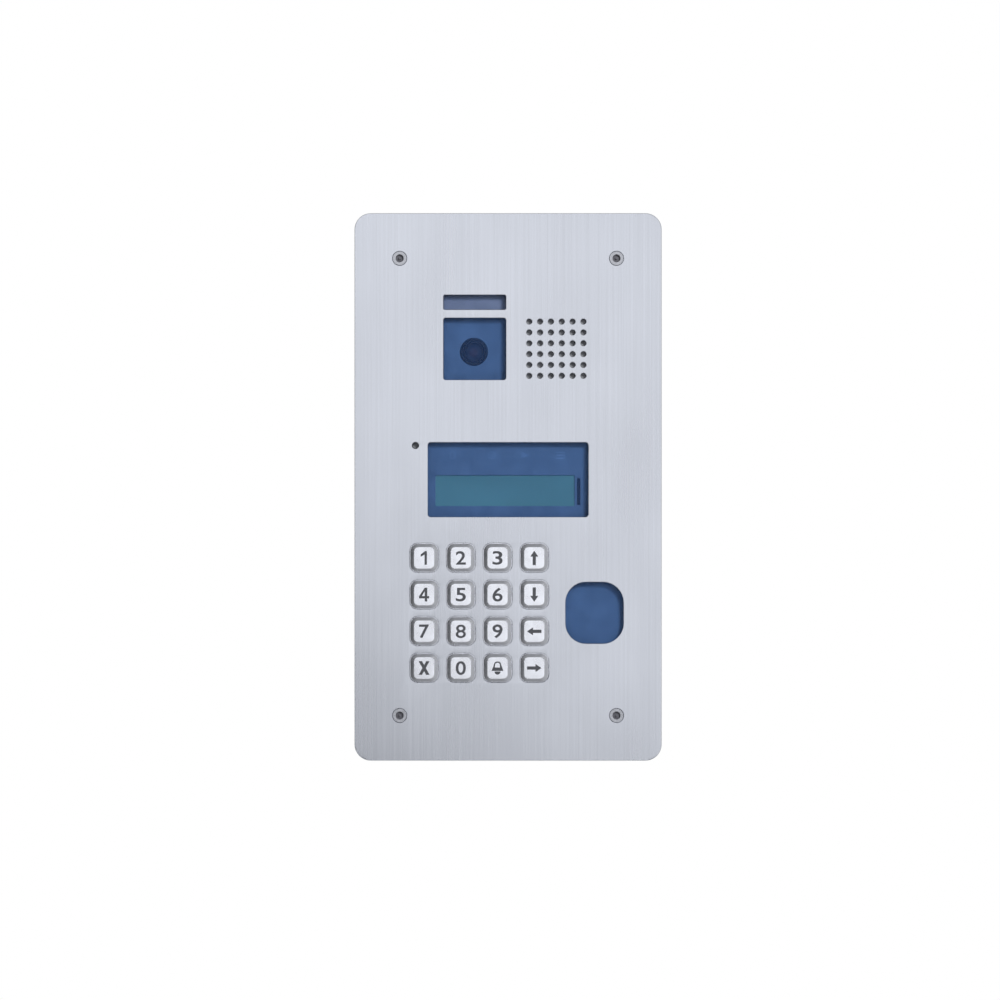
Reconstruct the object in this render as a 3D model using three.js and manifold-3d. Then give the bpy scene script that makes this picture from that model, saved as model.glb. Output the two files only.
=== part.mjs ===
// A flush-mounted video door station: a brushed steel panel with a camera, a lamp, a loudspeaker,
// a microphone, a display, a sixteen-key pad and a proximity reader, over a steel box in the wall.
// Millimetres. The origin is the centre of the panel's outline on the wall surface: +X is the
// visitor's right, +Z is up and +Y goes into the wall, so the front faces -Y.
import * as THREE from 'three';
import { mergeVertices } from 'three/addons/utils/BufferGeometryUtils.js';
import Module from 'manifold-3d';

const wasm = await Module();
wasm.setup();

// ---------------------------------------------------------------- driving dimensions

const gap = 0.3; // clearance between neighbouring pieces
const overshoot = 1; // how far a cutting tool runs past the face it cuts

const plate = { width: 170, height: 303, thickness: 3, corner: 9 };
const gasket = { thickness: 1.5, width: 6.5, inset: 2 };
const paneThickness = 2;
const boardThickness = 1.6;

const cameraWindow = { x: -18.5, z: 76.4, width: 34.5, height: 34.2, corner: 1.2, lip: 1.9 };
const lampWindow = { x: -18.5, z: 102.2, width: 34.5, height: 8.1, corner: 0.8, lip: 1.9 };
const displayWindow = { x: 0, z: 4, width: 88.7, height: 41.2, corner: 1.5, lip: 2.3 };
const readerWindow = { x: 47.8, z: -69.7, width: 32, height: 34, corner: 11.3, lip: 2 };
const retainer = { x: cameraWindow.x, z: 82.35, width: 42, height: 65.7, thickness: 2, corner: 2 };

const grille = { x: 26.7, z: 76.5, count: 6, pitch: 6, holeRadius: 1.5 };
const microphone = {
  x: -51.3,
  z: 22.9,
  holeRadius: 1.8,
  bootRadius: 4.2,
  bootEnd: 6,
  capsuleRadius: 3,
  capsuleEnd: 5,
};
const screw = { x: 60, z: 126.5, headRadius: 3.9, shankRadius: 1.95, length: 14 };
const socket = { radius: 2.2, depth: 1.4 };

const keypad = { x: -16, z: -69.7, pitch: 20.3, side: 84 };
const key = {
  aperture: { width: 16, height: 16.2, corner: 4.4 },
  face: { width: 10.9, height: 11.6, corner: 2.5 },
  proud: 1.5,
  play: 0.4, // all round the cap in its aperture
  shoulder: 0.6, // how deep the sloping shoulder round the face starts to steepen
  flange: 0.9, // how far the flange reaches out behind the plate
  flangeThickness: 1,
  stemRadius: 3,
  travel: 1.2,
};
const keyMat = { thickness: 1, stemPlay: 0.5, corner: 2.5 };
const keyHousing = { play: 0.5, wall: 1.5, tabHalfWidth: 4, tabReach: 49.5, tabThickness: 2.8 };

const box = { width: 150, height: 283, depth: 50, wall: 1.2, corner: 3 };
const lug = { reach: 23.8, thickness: 6, holeRadius: 2.3 };
const mountingHole = { x: 45, z: 95, radius: 2.5 };
const knockout = { x: 35, inner: 10, outer: 11, depth: 0.6 };
const grommet = { y: 27, wallHole: 11.5, flangeRadius: 13.5, flangeThickness: 1.6, cableRadius: 5 };

const displayGlass = { x: -1.65, z: -2.05, width: 77.3, height: 17.1 };
const displayBezelFrame = { width: 84, height: 25, wall: 1.5, lip: 0.8 };
const displayBoardFront = 5.1;
const displayBoardBody = { z: 4.2, width: 92, height: 42.5, corner: 1 };
const displayBoardEars = { z: -1, width: 108, height: 30, corner: 2 };
const mainBoard = { front: 16, halfWidth: 69, top: 45, bottom: -111 };
const pillar = { x: 65, top: 40.5, bottom: -106.5, radius: 2.5, swage: 1.9, swageRise: 0.8 };
const studRadius = 1.4;

const camera = { x: -19, z: 75, pivot: 16, frameInner: 13, frameWall: 2.5, frameDepth: 6, pinRadius: 1.5 };
const cameraBody = { halfWidth: 11, front: -1.7, back: 8.3 }; // depths from the pivot, as for the lens
const lens = { radius: 7, bore: 5.6, front: -11, back: -2, thickness: 3.1 };
const bracket = { width: 14, thickness: 2.2, foot: 3.2, back: 13, clearance: 1.3 };
const lamp = { count: 6, pitch: 5.4, width: 2.8, height: 3.5, proud: 1.4 };
const lampBoard = { halfWidth: 18, below: 4.6, above: 4.8 };
const speaker = {
  meshRadius: 23.5, // covers the whole grille
  radius: 22.5,
  opening: 18.5,
  front: 1.2, // where the basket's rim starts
  rim: 1.4,
  depth: 8.4,
  sheet: 1.2,
  shoulder: 13,
  neck: 7,
  magnetRadius: 14,
  magnetThickness: 6,
};
const terminals = { halfWidth: 30.5, bottom: -106, top: -94, depth: 12, wireLedge: 5 };
const reader = { halfWidth: 16.5, halfHeight: 20.3, back: 11 };
const trimmer = { x: 42, z: 20, side: 9.5, depth: 5, well: 1.6, rotorRadius: 3.2, rotorThickness: 2.4 };
const tamper = {
  x: -50,
  z: 28,
  width: 12,
  height: 14,
  depth: 13,
  bore: 7, // how deep in the switch its plunger's bore starts
  plungerRadius: 2,
  headRadius: 3.2,
  headThickness: 3,
  travel: 2,
};

// Depths that follow from them.
const plateBack = -gasket.thickness - gap;
const plateFront = plateBack - plate.thickness;
const paneFront = plateBack + gap;
const paneBack = paneFront + paneThickness;
const behindPane = paneBack + gap;
const behindRetainer = behindPane + retainer.thickness + gap;
const keyFace = plateFront - key.proud;
const flangeBack = paneFront + key.flangeThickness;
const matFront = flangeBack + key.travel + 3 * gap;
const keypadBoardFront = 4.9;
const stemEnd = keypadBoardFront - key.travel - gap;
const boxFront = gap;
const boxInnerBack = boxFront + box.depth - box.wall;
const mainBoardBack = mainBoard.front + boardThickness;
const behindMainBoard = mainBoardBack + gap;

// ---------------------------------------------------------------- outlines, seen from the front

// Points of a rectangle with round corners, anticlockwise.
function roundedRect({ x = 0, z = 0, width, height, corner }, steps = 3) {
  const points = [];
  for (let quarter = 0; quarter < 4; quarter++) {
    const acrossSign = quarter === 0 || quarter === 3 ? 1 : -1;
    const upSign = quarter < 2 ? 1 : -1;
    for (let step = 0; step <= steps; step++) {
      const angle = (quarter + step / steps) * (Math.PI / 2);
      points.push(new THREE.Vector2(
        x + acrossSign * (width / 2 - corner) + corner * Math.cos(angle),
        z + upSign * (height / 2 - corner) + corner * Math.sin(angle),
      ));
    }
  }
  return points;
}

function circle(radius, x, z, sides) {
  return Array.from({ length: sides }, (_, side) => {
    const angle = (side / sides) * Math.PI * 2;
    return new THREE.Vector2(x + radius * Math.cos(angle), z + radius * Math.sin(angle));
  });
}

// The same outline, larger by `margin` all round.
function grown(outline, margin) {
  return {
    ...outline,
    width: outline.width + 2 * margin,
    height: outline.height + 2 * margin,
    corner: outline.corner + margin,
  };
}

// ---------------------------------------------------------------- solids

// A flat piece between two depths, with holes.
function slab(outline, front, back, holes = []) {
  const shape = new THREE.Shape(outline);
  shape.holes = holes.map((hole) => new THREE.Path(hole));
  return new THREE.ExtrudeGeometry(shape, { depth: back - front, bevelEnabled: false })
    .rotateX(Math.PI / 2)
    .translate(0, back, 0);
}

function block(left, right, front, back, bottom, top) {
  return new THREE.BoxGeometry(right - left, back - front, top - bottom)
    .translate((left + right) / 2, (front + back) / 2, (bottom + top) / 2);
}

// An outline of [radius, depth] points turned about an axis along Y.
function turned(outline, sides, x = 0, z = 0) {
  const points = outline.map(([radius, depth]) => new THREE.Vector2(radius, depth));
  return new THREE.LatheGeometry(points, sides).translate(x, 0, z);
}

// The same, for a ring whose outline closes on itself away from the axis.
function turnedRing(outline, sides, x = 0, z = 0) {
  return turned([...outline, outline[0]], sides, x, z);
}

function rod(radius, front, back, x, z, sides = 12) {
  return turned([[0, front], [radius, front], [radius, back], [0, back]], sides, x, z);
}

// A solid through a row of outlines at rising depths; every outline has the same number of points.
function stacked(levels) {
  const count = levels[0].outline.length;
  const positions = levels.flatMap(({ depth, outline }) => (
    outline.flatMap((point) => [point.x, depth, point.y])
  ));
  const faces = [];
  for (let level = 0; level + 1 < levels.length; level++) {
    for (let point = 0; point < count; point++) {
      const here = level * count + point;
      const next = level * count + ((point + 1) % count);
      faces.push(here, here + count, next + count, here, next + count, next);
    }
  }
  const last = (levels.length - 1) * count;
  for (let point = 1; point + 1 < count; point++) {
    faces.push(0, point, point + 1);
    faces.push(last, last + point + 1, last + point);
  }
  const geometry = new THREE.BufferGeometry();
  geometry.setAttribute('position', new THREE.Float32BufferAttribute(positions, 3));
  geometry.setIndex(faces);
  return geometry;
}

// A shape drawn in depth and height, `width` wide about `x`.
function profile(shape, x, width) {
  const acrossDepthHeight = new THREE.Matrix4().makeBasis(
    new THREE.Vector3(0, 1, 0),
    new THREE.Vector3(0, 0, 1),
    new THREE.Vector3(1, 0, 0),
  );
  return new THREE.ExtrudeGeometry(shape, { depth: width, bevelEnabled: false })
    .applyMatrix4(acrossDepthHeight)
    .translate(x - width / 2, 0, 0);
}

const ribbonThickness = 0.4;

// A flat cable that follows [depth, height] points, `width` wide about `x`.
function ribbon(route, x, width) {
  const curve = new THREE.SplineCurve(route.map(([depth, height]) => new THREE.Vector2(depth, height)));
  const sides = [[], []];
  const steps = 14;
  for (let step = 0; step <= steps; step++) {
    const point = curve.getPoint(step / steps);
    const along = curve.getTangent(step / steps);
    const across = new THREE.Vector2(-along.y, along.x).multiplyScalar(ribbonThickness / 2);
    sides[0].push(point.clone().add(across));
    sides[1].unshift(point.clone().sub(across));
  }
  return profile(new THREE.Shape([...sides[0], ...sides[1]]), x, width);
}

// ---------------------------------------------------------------- cutting and joining

function toSolid(geometry) {
  const bare = geometry.clone();
  bare.deleteAttribute('normal');
  bare.deleteAttribute('uv');
  const merged = mergeVertices(bare, 1e-4);
  const corners = merged.index.array;
  const triVerts = [];
  for (let start = 0; start < corners.length; start += 3) {
    const [a, b, c] = corners.slice(start, start + 3);
    if (a !== b && b !== c && c !== a) triVerts.push(a, b, c);
  }
  return new wasm.Manifold(new wasm.Mesh({
    numProp: 3,
    vertProperties: new Float32Array(merged.attributes.position.array),
    triVerts: new Uint32Array(triVerts),
  }));
}

function toGeometry(solid) {
  const mesh = solid.getMesh();
  const geometry = new THREE.BufferGeometry();
  geometry.setAttribute('position', new THREE.BufferAttribute(mesh.vertProperties, 3));
  geometry.setIndex(new THREE.BufferAttribute(mesh.triVerts, 1));
  return geometry;
}

function cut(body, tools) {
  return toGeometry(tools.reduce((solid, tool) => solid.subtract(toSolid(tool)), toSolid(body)));
}

function join(body, pieces) {
  return toGeometry(pieces.reduce((solid, piece) => solid.add(toSolid(piece)), toSolid(body)));
}

// ---------------------------------------------------------------- finishes

function finish(name, color, roughness, metalness) {
  return new THREE.MeshStandardMaterial({ name, color, roughness, metalness });
}

const brushedSteel = finish('brushed_steel', 0xcfd2dd, 0.35, 0.9);
const keySteel = finish('key_steel', 0xe2e4ea, 0.3, 0.9);
const galvanised = finish('galvanised_steel', 0xaab0b4, 0.5, 0.8);
const screwSteel = finish('screw_steel', 0x9a9ca4, 0.35, 0.9);
const tintedGlazing = finish('tinted_glazing', 0x3d6590, 0.12, 0);
const blackRubber = finish('black_rubber', 0x1b1b1d, 0.8, 0);
const greyRubber = finish('grey_rubber', 0x6f7478, 0.75, 0);
const blackPlastic = finish('black_plastic', 0x202226, 0.5, 0);
const whitePlastic = finish('white_plastic', 0xdfe2e2, 0.45, 0);
const greenPlastic = finish('green_plastic', 0x2f8f52, 0.45, 0);
const circuitBoard = finish('circuit_board', 0x1f5a3a, 0.5, 0.1);
const lensGlass = finish('lens_glass', 0x20304a, 0.05, 0);
const displayGlassFinish = finish('display_glass', 0x3b7a86, 0.1, 0);
const paperCone = finish('speaker_cone', 0x2a2a2c, 0.8, 0);
const ferrite = finish('ferrite', 0x3a3a3d, 0.6, 0.3);
const flatCable = finish('flat_cable', 0xd8d8d2, 0.5, 0);
const wireSleeve = finish('wire_sleeve', 0x8f2420, 0.5, 0);
const acousticMesh = finish('acoustic_mesh', 0x2e3032, 0.7, 0.2);

// ---------------------------------------------------------------- wall box

function flushBox() {
  const shell = { width: box.width, height: box.height, corner: box.corner };
  const outer = slab(roundedRect(shell), boxFront, boxFront + box.depth);
  const inner = slab(roundedRect(grown(shell, -box.wall)), boxFront - overshoot, boxInnerBack);
  const sideWall = box.width / 2 - box.wall / 2;
  const endWall = box.height / 2 - box.wall / 2;
  const lugs = [];
  const cuts = [];
  for (const side of [-1, 1]) {
    for (const end of [-1, 1]) {
      const across = [side * (box.width / 2 - lug.reach - box.wall), side * sideWall].sort((a, b) => a - b);
      const up = [end * (box.height / 2 - lug.reach - box.wall), end * endWall].sort((a, b) => a - b);
      const lugBack = boxFront + lug.thickness;
      lugs.push(block(...across, boxFront, lugBack, ...up));
      const screwHole = rod(lug.holeRadius, boxFront - overshoot, lugBack + overshoot, 0, 0);
      cuts.push(screwHole.translate(side * screw.x, 0, end * screw.z));
      const { x, z, radius } = mountingHole;
      cuts.push(rod(radius, boxInnerBack - overshoot, boxFront + box.depth + overshoot, side * x, end * z));
    }
    // A scored ring in the top wall marks each knock-out.
    const score = turnedRing([
      [knockout.inner, -knockout.depth],
      [knockout.outer, -knockout.depth],
      [knockout.outer, overshoot],
      [knockout.inner, overshoot],
    ], 16);
    cuts.push(score.rotateX(Math.PI / 2).translate(side * knockout.x, grommet.y, box.height / 2));
  }
  const cableHole = rod(grommet.wallHole, -box.wall - overshoot, box.wall + overshoot, 0, 0, 16);
  cuts.push(cableHole.rotateX(Math.PI / 2).translate(0, grommet.y, -endWall));
  return cut(join(cut(outer, [inner]), lugs), cuts);
}

function cableGrommet() {
  const groove = box.wall / 2 + gap;
  const face = groove + grommet.flangeThickness;
  const grooveRadius = grommet.wallHole - gap;
  const outline = [
    [grommet.cableRadius, -face],
    [grommet.flangeRadius, -face],
    [grommet.flangeRadius, -groove],
    [grooveRadius, -groove],
    [grooveRadius, groove],
    [grommet.flangeRadius, groove],
    [grommet.flangeRadius, face],
    [grommet.cableRadius, face],
  ];
  const bottomWall = box.wall / 2 - box.height / 2;
  return turnedRing(outline, 16).rotateX(Math.PI / 2).translate(0, grommet.y, bottomWall);
}

// ---------------------------------------------------------------- front plate, gasket and screws

function keyPlaces() {
  const places = [];
  for (let row = 0; row < 4; row++) {
    for (let column = 0; column < 4; column++) {
      places.push({
        x: keypad.x + (column - 1.5) * keypad.pitch,
        z: keypad.z + (1.5 - row) * keypad.pitch,
      });
    }
  }
  return places;
}

// The four corners of a rectangle `across` and `up` either way from a centre.
function fourCorners({ x = 0, z = 0 }, across, up) {
  return [-1, 1].flatMap((side) => [-1, 1].map((end) => ({ x: x + side * across, z: z + end * up })));
}

const retainerStuds = fourCorners(retainer, 15.5, 29.25);
const housingStuds = fourCorners(keypad, 30, 46.7);
const displayStuds = fourCorners(displayBoardEars, 50.5, 11);
const readerStuds = [-24.8, 24.8].map((dz) => ({ x: readerWindow.x, z: readerWindow.z + dz }));
const shortStudEnd = 3.3;
const longStudEnd = 4.8;
const displayStudEnd = displayBoardFront + boardThickness + 2;

function studHoles(places) {
  return places.map(({ x, z }) => circle(studRadius + gap, x, z, 8));
}

function frontPlate() {
  const holes = [cameraWindow, lampWindow, displayWindow].map((window) => roundedRect(window, 2));
  holes.push(roundedRect(readerWindow, 5));
  holes.push(circle(microphone.holeRadius, microphone.x, microphone.z, 10));
  for (const { x, z } of keyPlaces()) holes.push(roundedRect({ x, z, ...key.aperture }));
  for (let row = 0; row < grille.count; row++) {
    for (let column = 0; column < grille.count; column++) {
      const x = grille.x + (column - (grille.count - 1) / 2) * grille.pitch;
      const z = grille.z + (row - (grille.count - 1) / 2) * grille.pitch;
      holes.push(circle(grille.holeRadius, x, z, 8));
    }
  }
  const sheet = slab(roundedRect(plate, 6), plateFront, plateBack, holes);

  const clearance = screw.shankRadius + gap;
  const mouth = screw.headRadius + gap;
  const countersinks = [-1, 1].flatMap((side) => [-1, 1].map((end) => turned([
    [0, plateFront - overshoot],
    [mouth + overshoot, plateFront - overshoot],
    [clearance, plateFront + mouth - clearance],
    [clearance, plateBack + overshoot],
    [0, plateBack + overshoot],
  ], 16, side * screw.x, end * screw.z)));

  const front = plateBack - overshoot;
  const welded = (places, end) => places.map(({ x, z }) => rod(studRadius, front, end, x, z, 8));
  return join(cut(sheet, countersinks), [
    ...welded(retainerStuds, longStudEnd),
    ...welded(housingStuds, shortStudEnd),
    ...welded(displayStuds, displayStudEnd),
    ...welded(readerStuds, longStudEnd),
  ]);
}

function panelGasket() {
  const outer = grown(plate, -gasket.inset);
  const inner = grown(outer, -gasket.width);
  return slab(roundedRect(outer), -gasket.thickness, 0, [roundedRect({ ...inner, corner: 1 })]);
}

function panelScrew() {
  const top = plateFront + 0.05;
  const coneEnd = top + screw.headRadius - screw.shankRadius;
  return turned([
    [0, top + socket.depth],
    [socket.radius, top + socket.depth],
    [socket.radius, top],
    [screw.headRadius, top],
    [screw.shankRadius, coneEnd],
    [screw.shankRadius, top + screw.length],
    [0, top + screw.length],
  ], 16);
}

// ---------------------------------------------------------------- glazing

function pane(window, steps = 2) {
  return slab(roundedRect(grown(window, window.lip), steps), paneFront, paneBack);
}

function windowRetainer() {
  const openings = [cameraWindow, lampWindow].map((window) => roundedRect(window, 2));
  const holes = [...openings, ...studHoles(retainerStuds)];
  return slab(roundedRect(retainer), behindPane, behindPane + retainer.thickness, holes);
}

// ---------------------------------------------------------------- loudspeaker and microphone

const meshThickness = 0.6;

function speakerMesh() {
  return rod(speaker.meshRadius, paneFront, paneFront + meshThickness, grille.x, grille.z, 20);
}

function speakerSeal() {
  const front = paneFront + meshThickness + gap;
  const back = speaker.front - gap;
  return turnedRing([
    [speaker.opening, front],
    [speaker.radius, front],
    [speaker.radius, back],
    [speaker.opening, back],
  ], 20, grille.x, grille.z);
}

function speakerBasket() {
  const { radius, opening, front, rim, sheet, shoulder, neck } = speaker;
  const back = front + speaker.depth;
  return turnedRing([
    [radius, front],
    [radius, front + rim],
    [opening + 1, front + rim],
    [shoulder, back],
    [neck, back],
    [neck, back - sheet],
    [shoulder - 0.8, back - sheet],
    [opening, front],
  ], 20, grille.x, grille.z);
}

// A paper cone with a dust cap in its middle.
function speakerCone() {
  const paper = 0.7;
  const cap = { radius: 6, rise: 1.4 };
  const rim = { radius: speaker.opening - 0.7, front: speaker.front + 0.1 };
  const capEdge = speaker.front + 4.8;
  return turned([
    [0, capEdge - cap.rise],
    [cap.radius, capEdge],
    [rim.radius, rim.front],
    [rim.radius, rim.front + paper],
    [cap.radius + 0.4, capEdge + paper],
    [0, capEdge - cap.rise + paper],
  ], 20, grille.x, grille.z);
}

function speakerMagnet() {
  const front = speaker.front + speaker.depth + gap;
  return rod(speaker.magnetRadius, front, front + speaker.magnetThickness, grille.x, grille.z, 20);
}

function microphoneBoot() {
  const { x, z, holeRadius, bootRadius, bootEnd, capsuleRadius } = microphone;
  return turnedRing([
    [holeRadius, paneFront],
    [bootRadius, paneFront],
    [bootRadius, bootEnd],
    [capsuleRadius + gap, bootEnd],
    [capsuleRadius + gap, -gap],
    [holeRadius, -gap],
  ], 16, x, z);
}

function microphoneCapsule() {
  return rod(microphone.capsuleRadius, 0, microphone.capsuleEnd, microphone.x, microphone.z, 16);
}

// ---------------------------------------------------------------- display

function displayBezel() {
  const { width, height, wall, lip } = displayBezelFrame;
  const frame = { ...displayGlass, width, height, corner: 1 };
  const view = { ...displayGlass, corner: 0.5 };
  const pocket = { ...frame, width: width - 2 * wall, height: height - 2 * wall, corner: 0.5 };
  const cuts = [
    slab(roundedRect(view, 1), behindPane - overshoot, behindPane + 2 * lip),
    slab(roundedRect(pocket, 1), behindPane + lip, displayBoardFront),
  ];
  return cut(slab(roundedRect(frame, 1), behindPane, displayBoardFront - gap), cuts);
}

function displayCell() {
  const { width, height, wall, lip } = displayBezelFrame;
  const margin = 2 * (wall + gap);
  const cell = { ...displayGlass, width: width - margin, height: height - margin, corner: 0.5 };
  return slab(roundedRect(cell, 1), behindPane + lip + gap, displayBoardFront - 2 * gap);
}

function displayBoard() {
  const back = displayBoardFront + boardThickness;
  const body = slab(roundedRect(displayBoardBody, 1), displayBoardFront, back);
  const ears = slab(roundedRect(displayBoardEars, 2), displayBoardFront, back);
  const front = displayBoardFront - overshoot;
  const holes = studHoles(displayStuds).map((hole) => slab(hole, front, back + overshoot));
  return cut(join(body, [ears]), holes);
}

// ---------------------------------------------------------------- keypad

function keypadHousing() {
  const back = keypadBoardFront + boardThickness + gap;
  const { play, wall, tabHalfWidth, tabReach, tabThickness } = keyHousing;
  const board = { ...keypad, width: keypad.side, height: keypad.side, corner: keyMat.corner };
  const well = grown(board, play);
  const walls = grown(well, wall);
  const frame = slab(roundedRect(walls), paneFront, back, [roundedRect(well)]);
  const tabs = housingStuds.map(({ x, z }) => {
    const end = Math.sign(z - keypad.z);
    const root = keypad.z + end * (keypad.side / 2 + wall);
    const up = [root, keypad.z + end * tabReach].sort((a, b) => a - b);
    return block(x - tabHalfWidth, x + tabHalfWidth, paneFront, paneFront + tabThickness, ...up);
  });
  const holes = studHoles(housingStuds).map((hole) => slab(hole, paneFront - overshoot, back));
  return cut(join(frame, tabs), holes);
}

function keypadMat() {
  const { thickness, stemPlay, corner } = keyMat;
  const sheet = { ...keypad, width: keypad.side, height: keypad.side, corner };
  const stemHoles = keyPlaces().map(({ x, z }) => circle(key.stemRadius + stemPlay, x, z, 10));
  return slab(roundedRect(sheet, 2), matFront, matFront + thickness, stemHoles);
}

function keypadBoard() {
  const board = { ...keypad, width: keypad.side, height: keypad.side, corner: keyMat.corner };
  return slab(roundedRect(board, 2), keypadBoardFront, keypadBoardFront + boardThickness);
}

function keyCap() {
  const skirt = grown(key.aperture, -key.play);
  const flange = grown(key.aperture, key.flange);
  const shoulder = {
    width: (skirt.width + key.face.width) / 2 + 0.5,
    height: (skirt.height + key.face.height) / 2 + 0.5,
    corner: (skirt.corner + key.face.corner) / 2,
  };
  const stem = { width: 2 * key.stemRadius, height: 2 * key.stemRadius, corner: key.stemRadius };
  return stacked([
    { depth: keyFace, outline: roundedRect(key.face) },
    { depth: keyFace + key.shoulder, outline: roundedRect(shoulder) },
    { depth: plateFront - 0.1, outline: roundedRect(skirt) },
    { depth: paneFront, outline: roundedRect(skirt) },
    { depth: paneFront, outline: roundedRect(flange) },
    { depth: flangeBack, outline: roundedRect(flange) },
    { depth: flangeBack, outline: roundedRect(stem) },
    { depth: stemEnd, outline: roundedRect(stem) },
  ]);
}

// ---------------------------------------------------------------- camera, drawn about its pivot

function cameraBracket() {
  const arm = camera.frameInner + camera.frameWall + bracket.clearance;
  const top = arm + bracket.thickness;
  const foot = top + bracket.foot;
  const front = behindRetainer - camera.pivot;
  const footBack = front + bracket.thickness;
  const back = bracket.back;
  const side = [
    [front, foot], [footBack, foot], [footBack, top], [back + bracket.thickness, top],
    [back + bracket.thickness, -top], [footBack, -top], [footBack, -foot], [front, -foot],
    [front, -arm], [back, -arm], [back, arm], [front, arm],
  ];
  const shape = new THREE.Shape(side.map(([depth, height]) => new THREE.Vector2(depth, height)));
  const pinHoles = rod(camera.pinRadius + gap, -top - overshoot, top + overshoot, 0, 0);
  return cut(profile(shape, 0, bracket.width), [pinHoles.rotateX(Math.PI / 2)]);
}

function cameraPanFrame() {
  const inner = 2 * camera.frameInner;
  const outer = inner + 2 * camera.frameWall;
  const half = camera.frameDepth / 2;
  const pinReach = outer / 2 + bracket.clearance + bracket.thickness - gap;
  const ring = slab(
    roundedRect({ width: outer, height: outer, corner: 2 }, 2),
    -half,
    half,
    [roundedRect({ width: inner, height: inner, corner: 1 }, 1)],
  );
  const pins = [-1, 1].map((end) => (
    rod(camera.pinRadius, inner / 2 + 1, pinReach, 0, 0).rotateX(end * (Math.PI / 2))
  ));
  const tiltHoles = rod(camera.pinRadius + gap, -outer, outer, 0, 0).rotateZ(Math.PI / 2);
  return cut(join(ring, pins), [tiltHoles]);
}

function cameraModule() {
  const { halfWidth, front, back } = cameraBody;
  const body = block(-halfWidth, halfWidth, front, back, -halfWidth, halfWidth);
  const reach = camera.frameInner + camera.frameWall - gap;
  return join(body, [rod(camera.pinRadius, -reach, reach, 0, 0).rotateZ(Math.PI / 2)]);
}

function cameraLensBarrel() {
  const { radius, bore, front, back } = lens;
  return turnedRing([[bore, front], [radius, front], [radius, back], [bore, back]], 20);
}

// The front lens bulges forward, and stays behind the barrel's edge.
function cameraLensGlass() {
  const radius = lens.bore - gap;
  const front = lens.front + 0.4;
  const back = front + lens.thickness;
  return turned([
    [0, front],
    [radius * 0.57, front + 0.3],
    [radius, front + 1.2],
    [radius, back],
    [0, back],
  ], 20);
}

function illuminatorBoard() {
  const front = behindRetainer;
  const { x, z } = lampWindow;
  const { halfWidth, below, above } = lampBoard;
  const board = block(x - halfWidth, x + halfWidth, front, front + boardThickness, z - below, z + above);
  const lamps = Array.from({ length: lamp.count }, (_, place) => {
    const middle = x + (place - (lamp.count - 1) / 2) * lamp.pitch;
    const across = [middle - lamp.width / 2, middle + lamp.width / 2];
    return block(...across, front - lamp.proud, front + 0.5, z - lamp.height / 2, z + lamp.height / 2);
  });
  return join(board, lamps);
}

// ---------------------------------------------------------------- main board and what is on it

// The board stands on four pillars pressed into its corners, which reach the back of the front plate.
function mainBoardOnPillars() {
  const { halfWidth, top, bottom, front } = mainBoard;
  const outline = { z: (top + bottom) / 2, width: 2 * halfWidth, height: top - bottom, corner: 2 };
  const sheet = slab(roundedRect(outline, 2), front, mainBoardBack);
  const pillars = [-pillar.x, pillar.x].flatMap((x) => [pillar.bottom, pillar.top].map((z) => turned([
    [0, plateBack + gap],
    [pillar.radius, plateBack + gap],
    [pillar.radius, front + boardThickness / 2],
    [pillar.swage, front + boardThickness / 2],
    [pillar.swage, mainBoardBack + pillar.swageRise],
    [0, mainBoardBack + pillar.swageRise],
  ], 10, x, z)));
  return join(sheet, pillars);
}

// The wires' side is lower than the side with the screws.
function terminalBlock() {
  const { halfWidth, bottom, top, depth, wireLedge } = terminals;
  const body = block(-halfWidth, halfWidth, behindMainBoard, behindMainBoard + depth, bottom, top);
  const half = behindMainBoard + depth / 2;
  const reach = halfWidth + overshoot;
  return cut(body, [block(-reach, reach, half, half + depth, bottom - overshoot, bottom + wireLedge)]);
}

const trimmerBack = behindMainBoard + trimmer.depth;

function volumeTrimmer() {
  const { x, z, well, rotorRadius } = trimmer;
  const half = trimmer.side / 2;
  const hollow = rod(rotorRadius + gap, trimmerBack - well, trimmerBack + overshoot, x, z, 16);
  return cut(block(x - half, x + half, behindMainBoard, trimmerBack, z - half, z + half), [hollow]);
}

// The rotor is drawn about its own axis.
function volumeRotor() {
  const front = trimmerBack - trimmer.well + gap;
  const back = front + trimmer.rotorThickness;
  const slot = { halfWidth: 0.5, depth: 1 };
  const disc = rod(trimmer.rotorRadius, front, back, 0, 0, 16);
  return cut(disc, [block(-5, 5, back - slot.depth, back + overshoot, -slot.halfWidth, slot.halfWidth)]);
}

function tamperSwitch() {
  const { width, height, depth, plungerRadius, bore } = tamper;
  const back = behindMainBoard + depth;
  const body = block(-width / 2, width / 2, behindMainBoard, back, -height / 2, height / 2);
  return cut(body, [rod(plungerRadius + gap, behindMainBoard + bore, back + overshoot, 0, 0, 12)]);
}

function tamperPlunger() {
  const { plungerRadius, headRadius, headThickness, bore, travel } = tamper;
  const front = behindMainBoard + bore + travel + gap;
  const back = boxInnerBack - gap;
  const headFront = back - headThickness;
  return turned([
    [0, front],
    [plungerRadius, front],
    [plungerRadius, headFront],
    [headRadius, headFront],
    [headRadius, back],
    [0, back],
  ], 12);
}

function readerModule() {
  const { x, z } = readerWindow;
  const { halfWidth, halfHeight, back } = reader;
  const body = block(x - halfWidth, x + halfWidth, behindPane, back, z - halfHeight, z + halfHeight);
  const ears = { x, z, width: 10, height: 57, corner: 2 };
  return join(body, [slab(roundedRect(ears, 2), behindPane, behindPane + 2, studHoles(readerStuds))]);
}

// ---------------------------------------------------------------- inner cables

function displayRibbon() {
  return ribbon([[7.4, 4], [7.4, -6], [11.4, -13], [15.3, -20], [15.3, -30]], 0, 20);
}

function keypadRibbon() {
  return ribbon([[7.2, -36], [7.2, -46], [11.3, -53], [15.3, -60], [15.3, -70]], keypad.x, 24);
}

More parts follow.
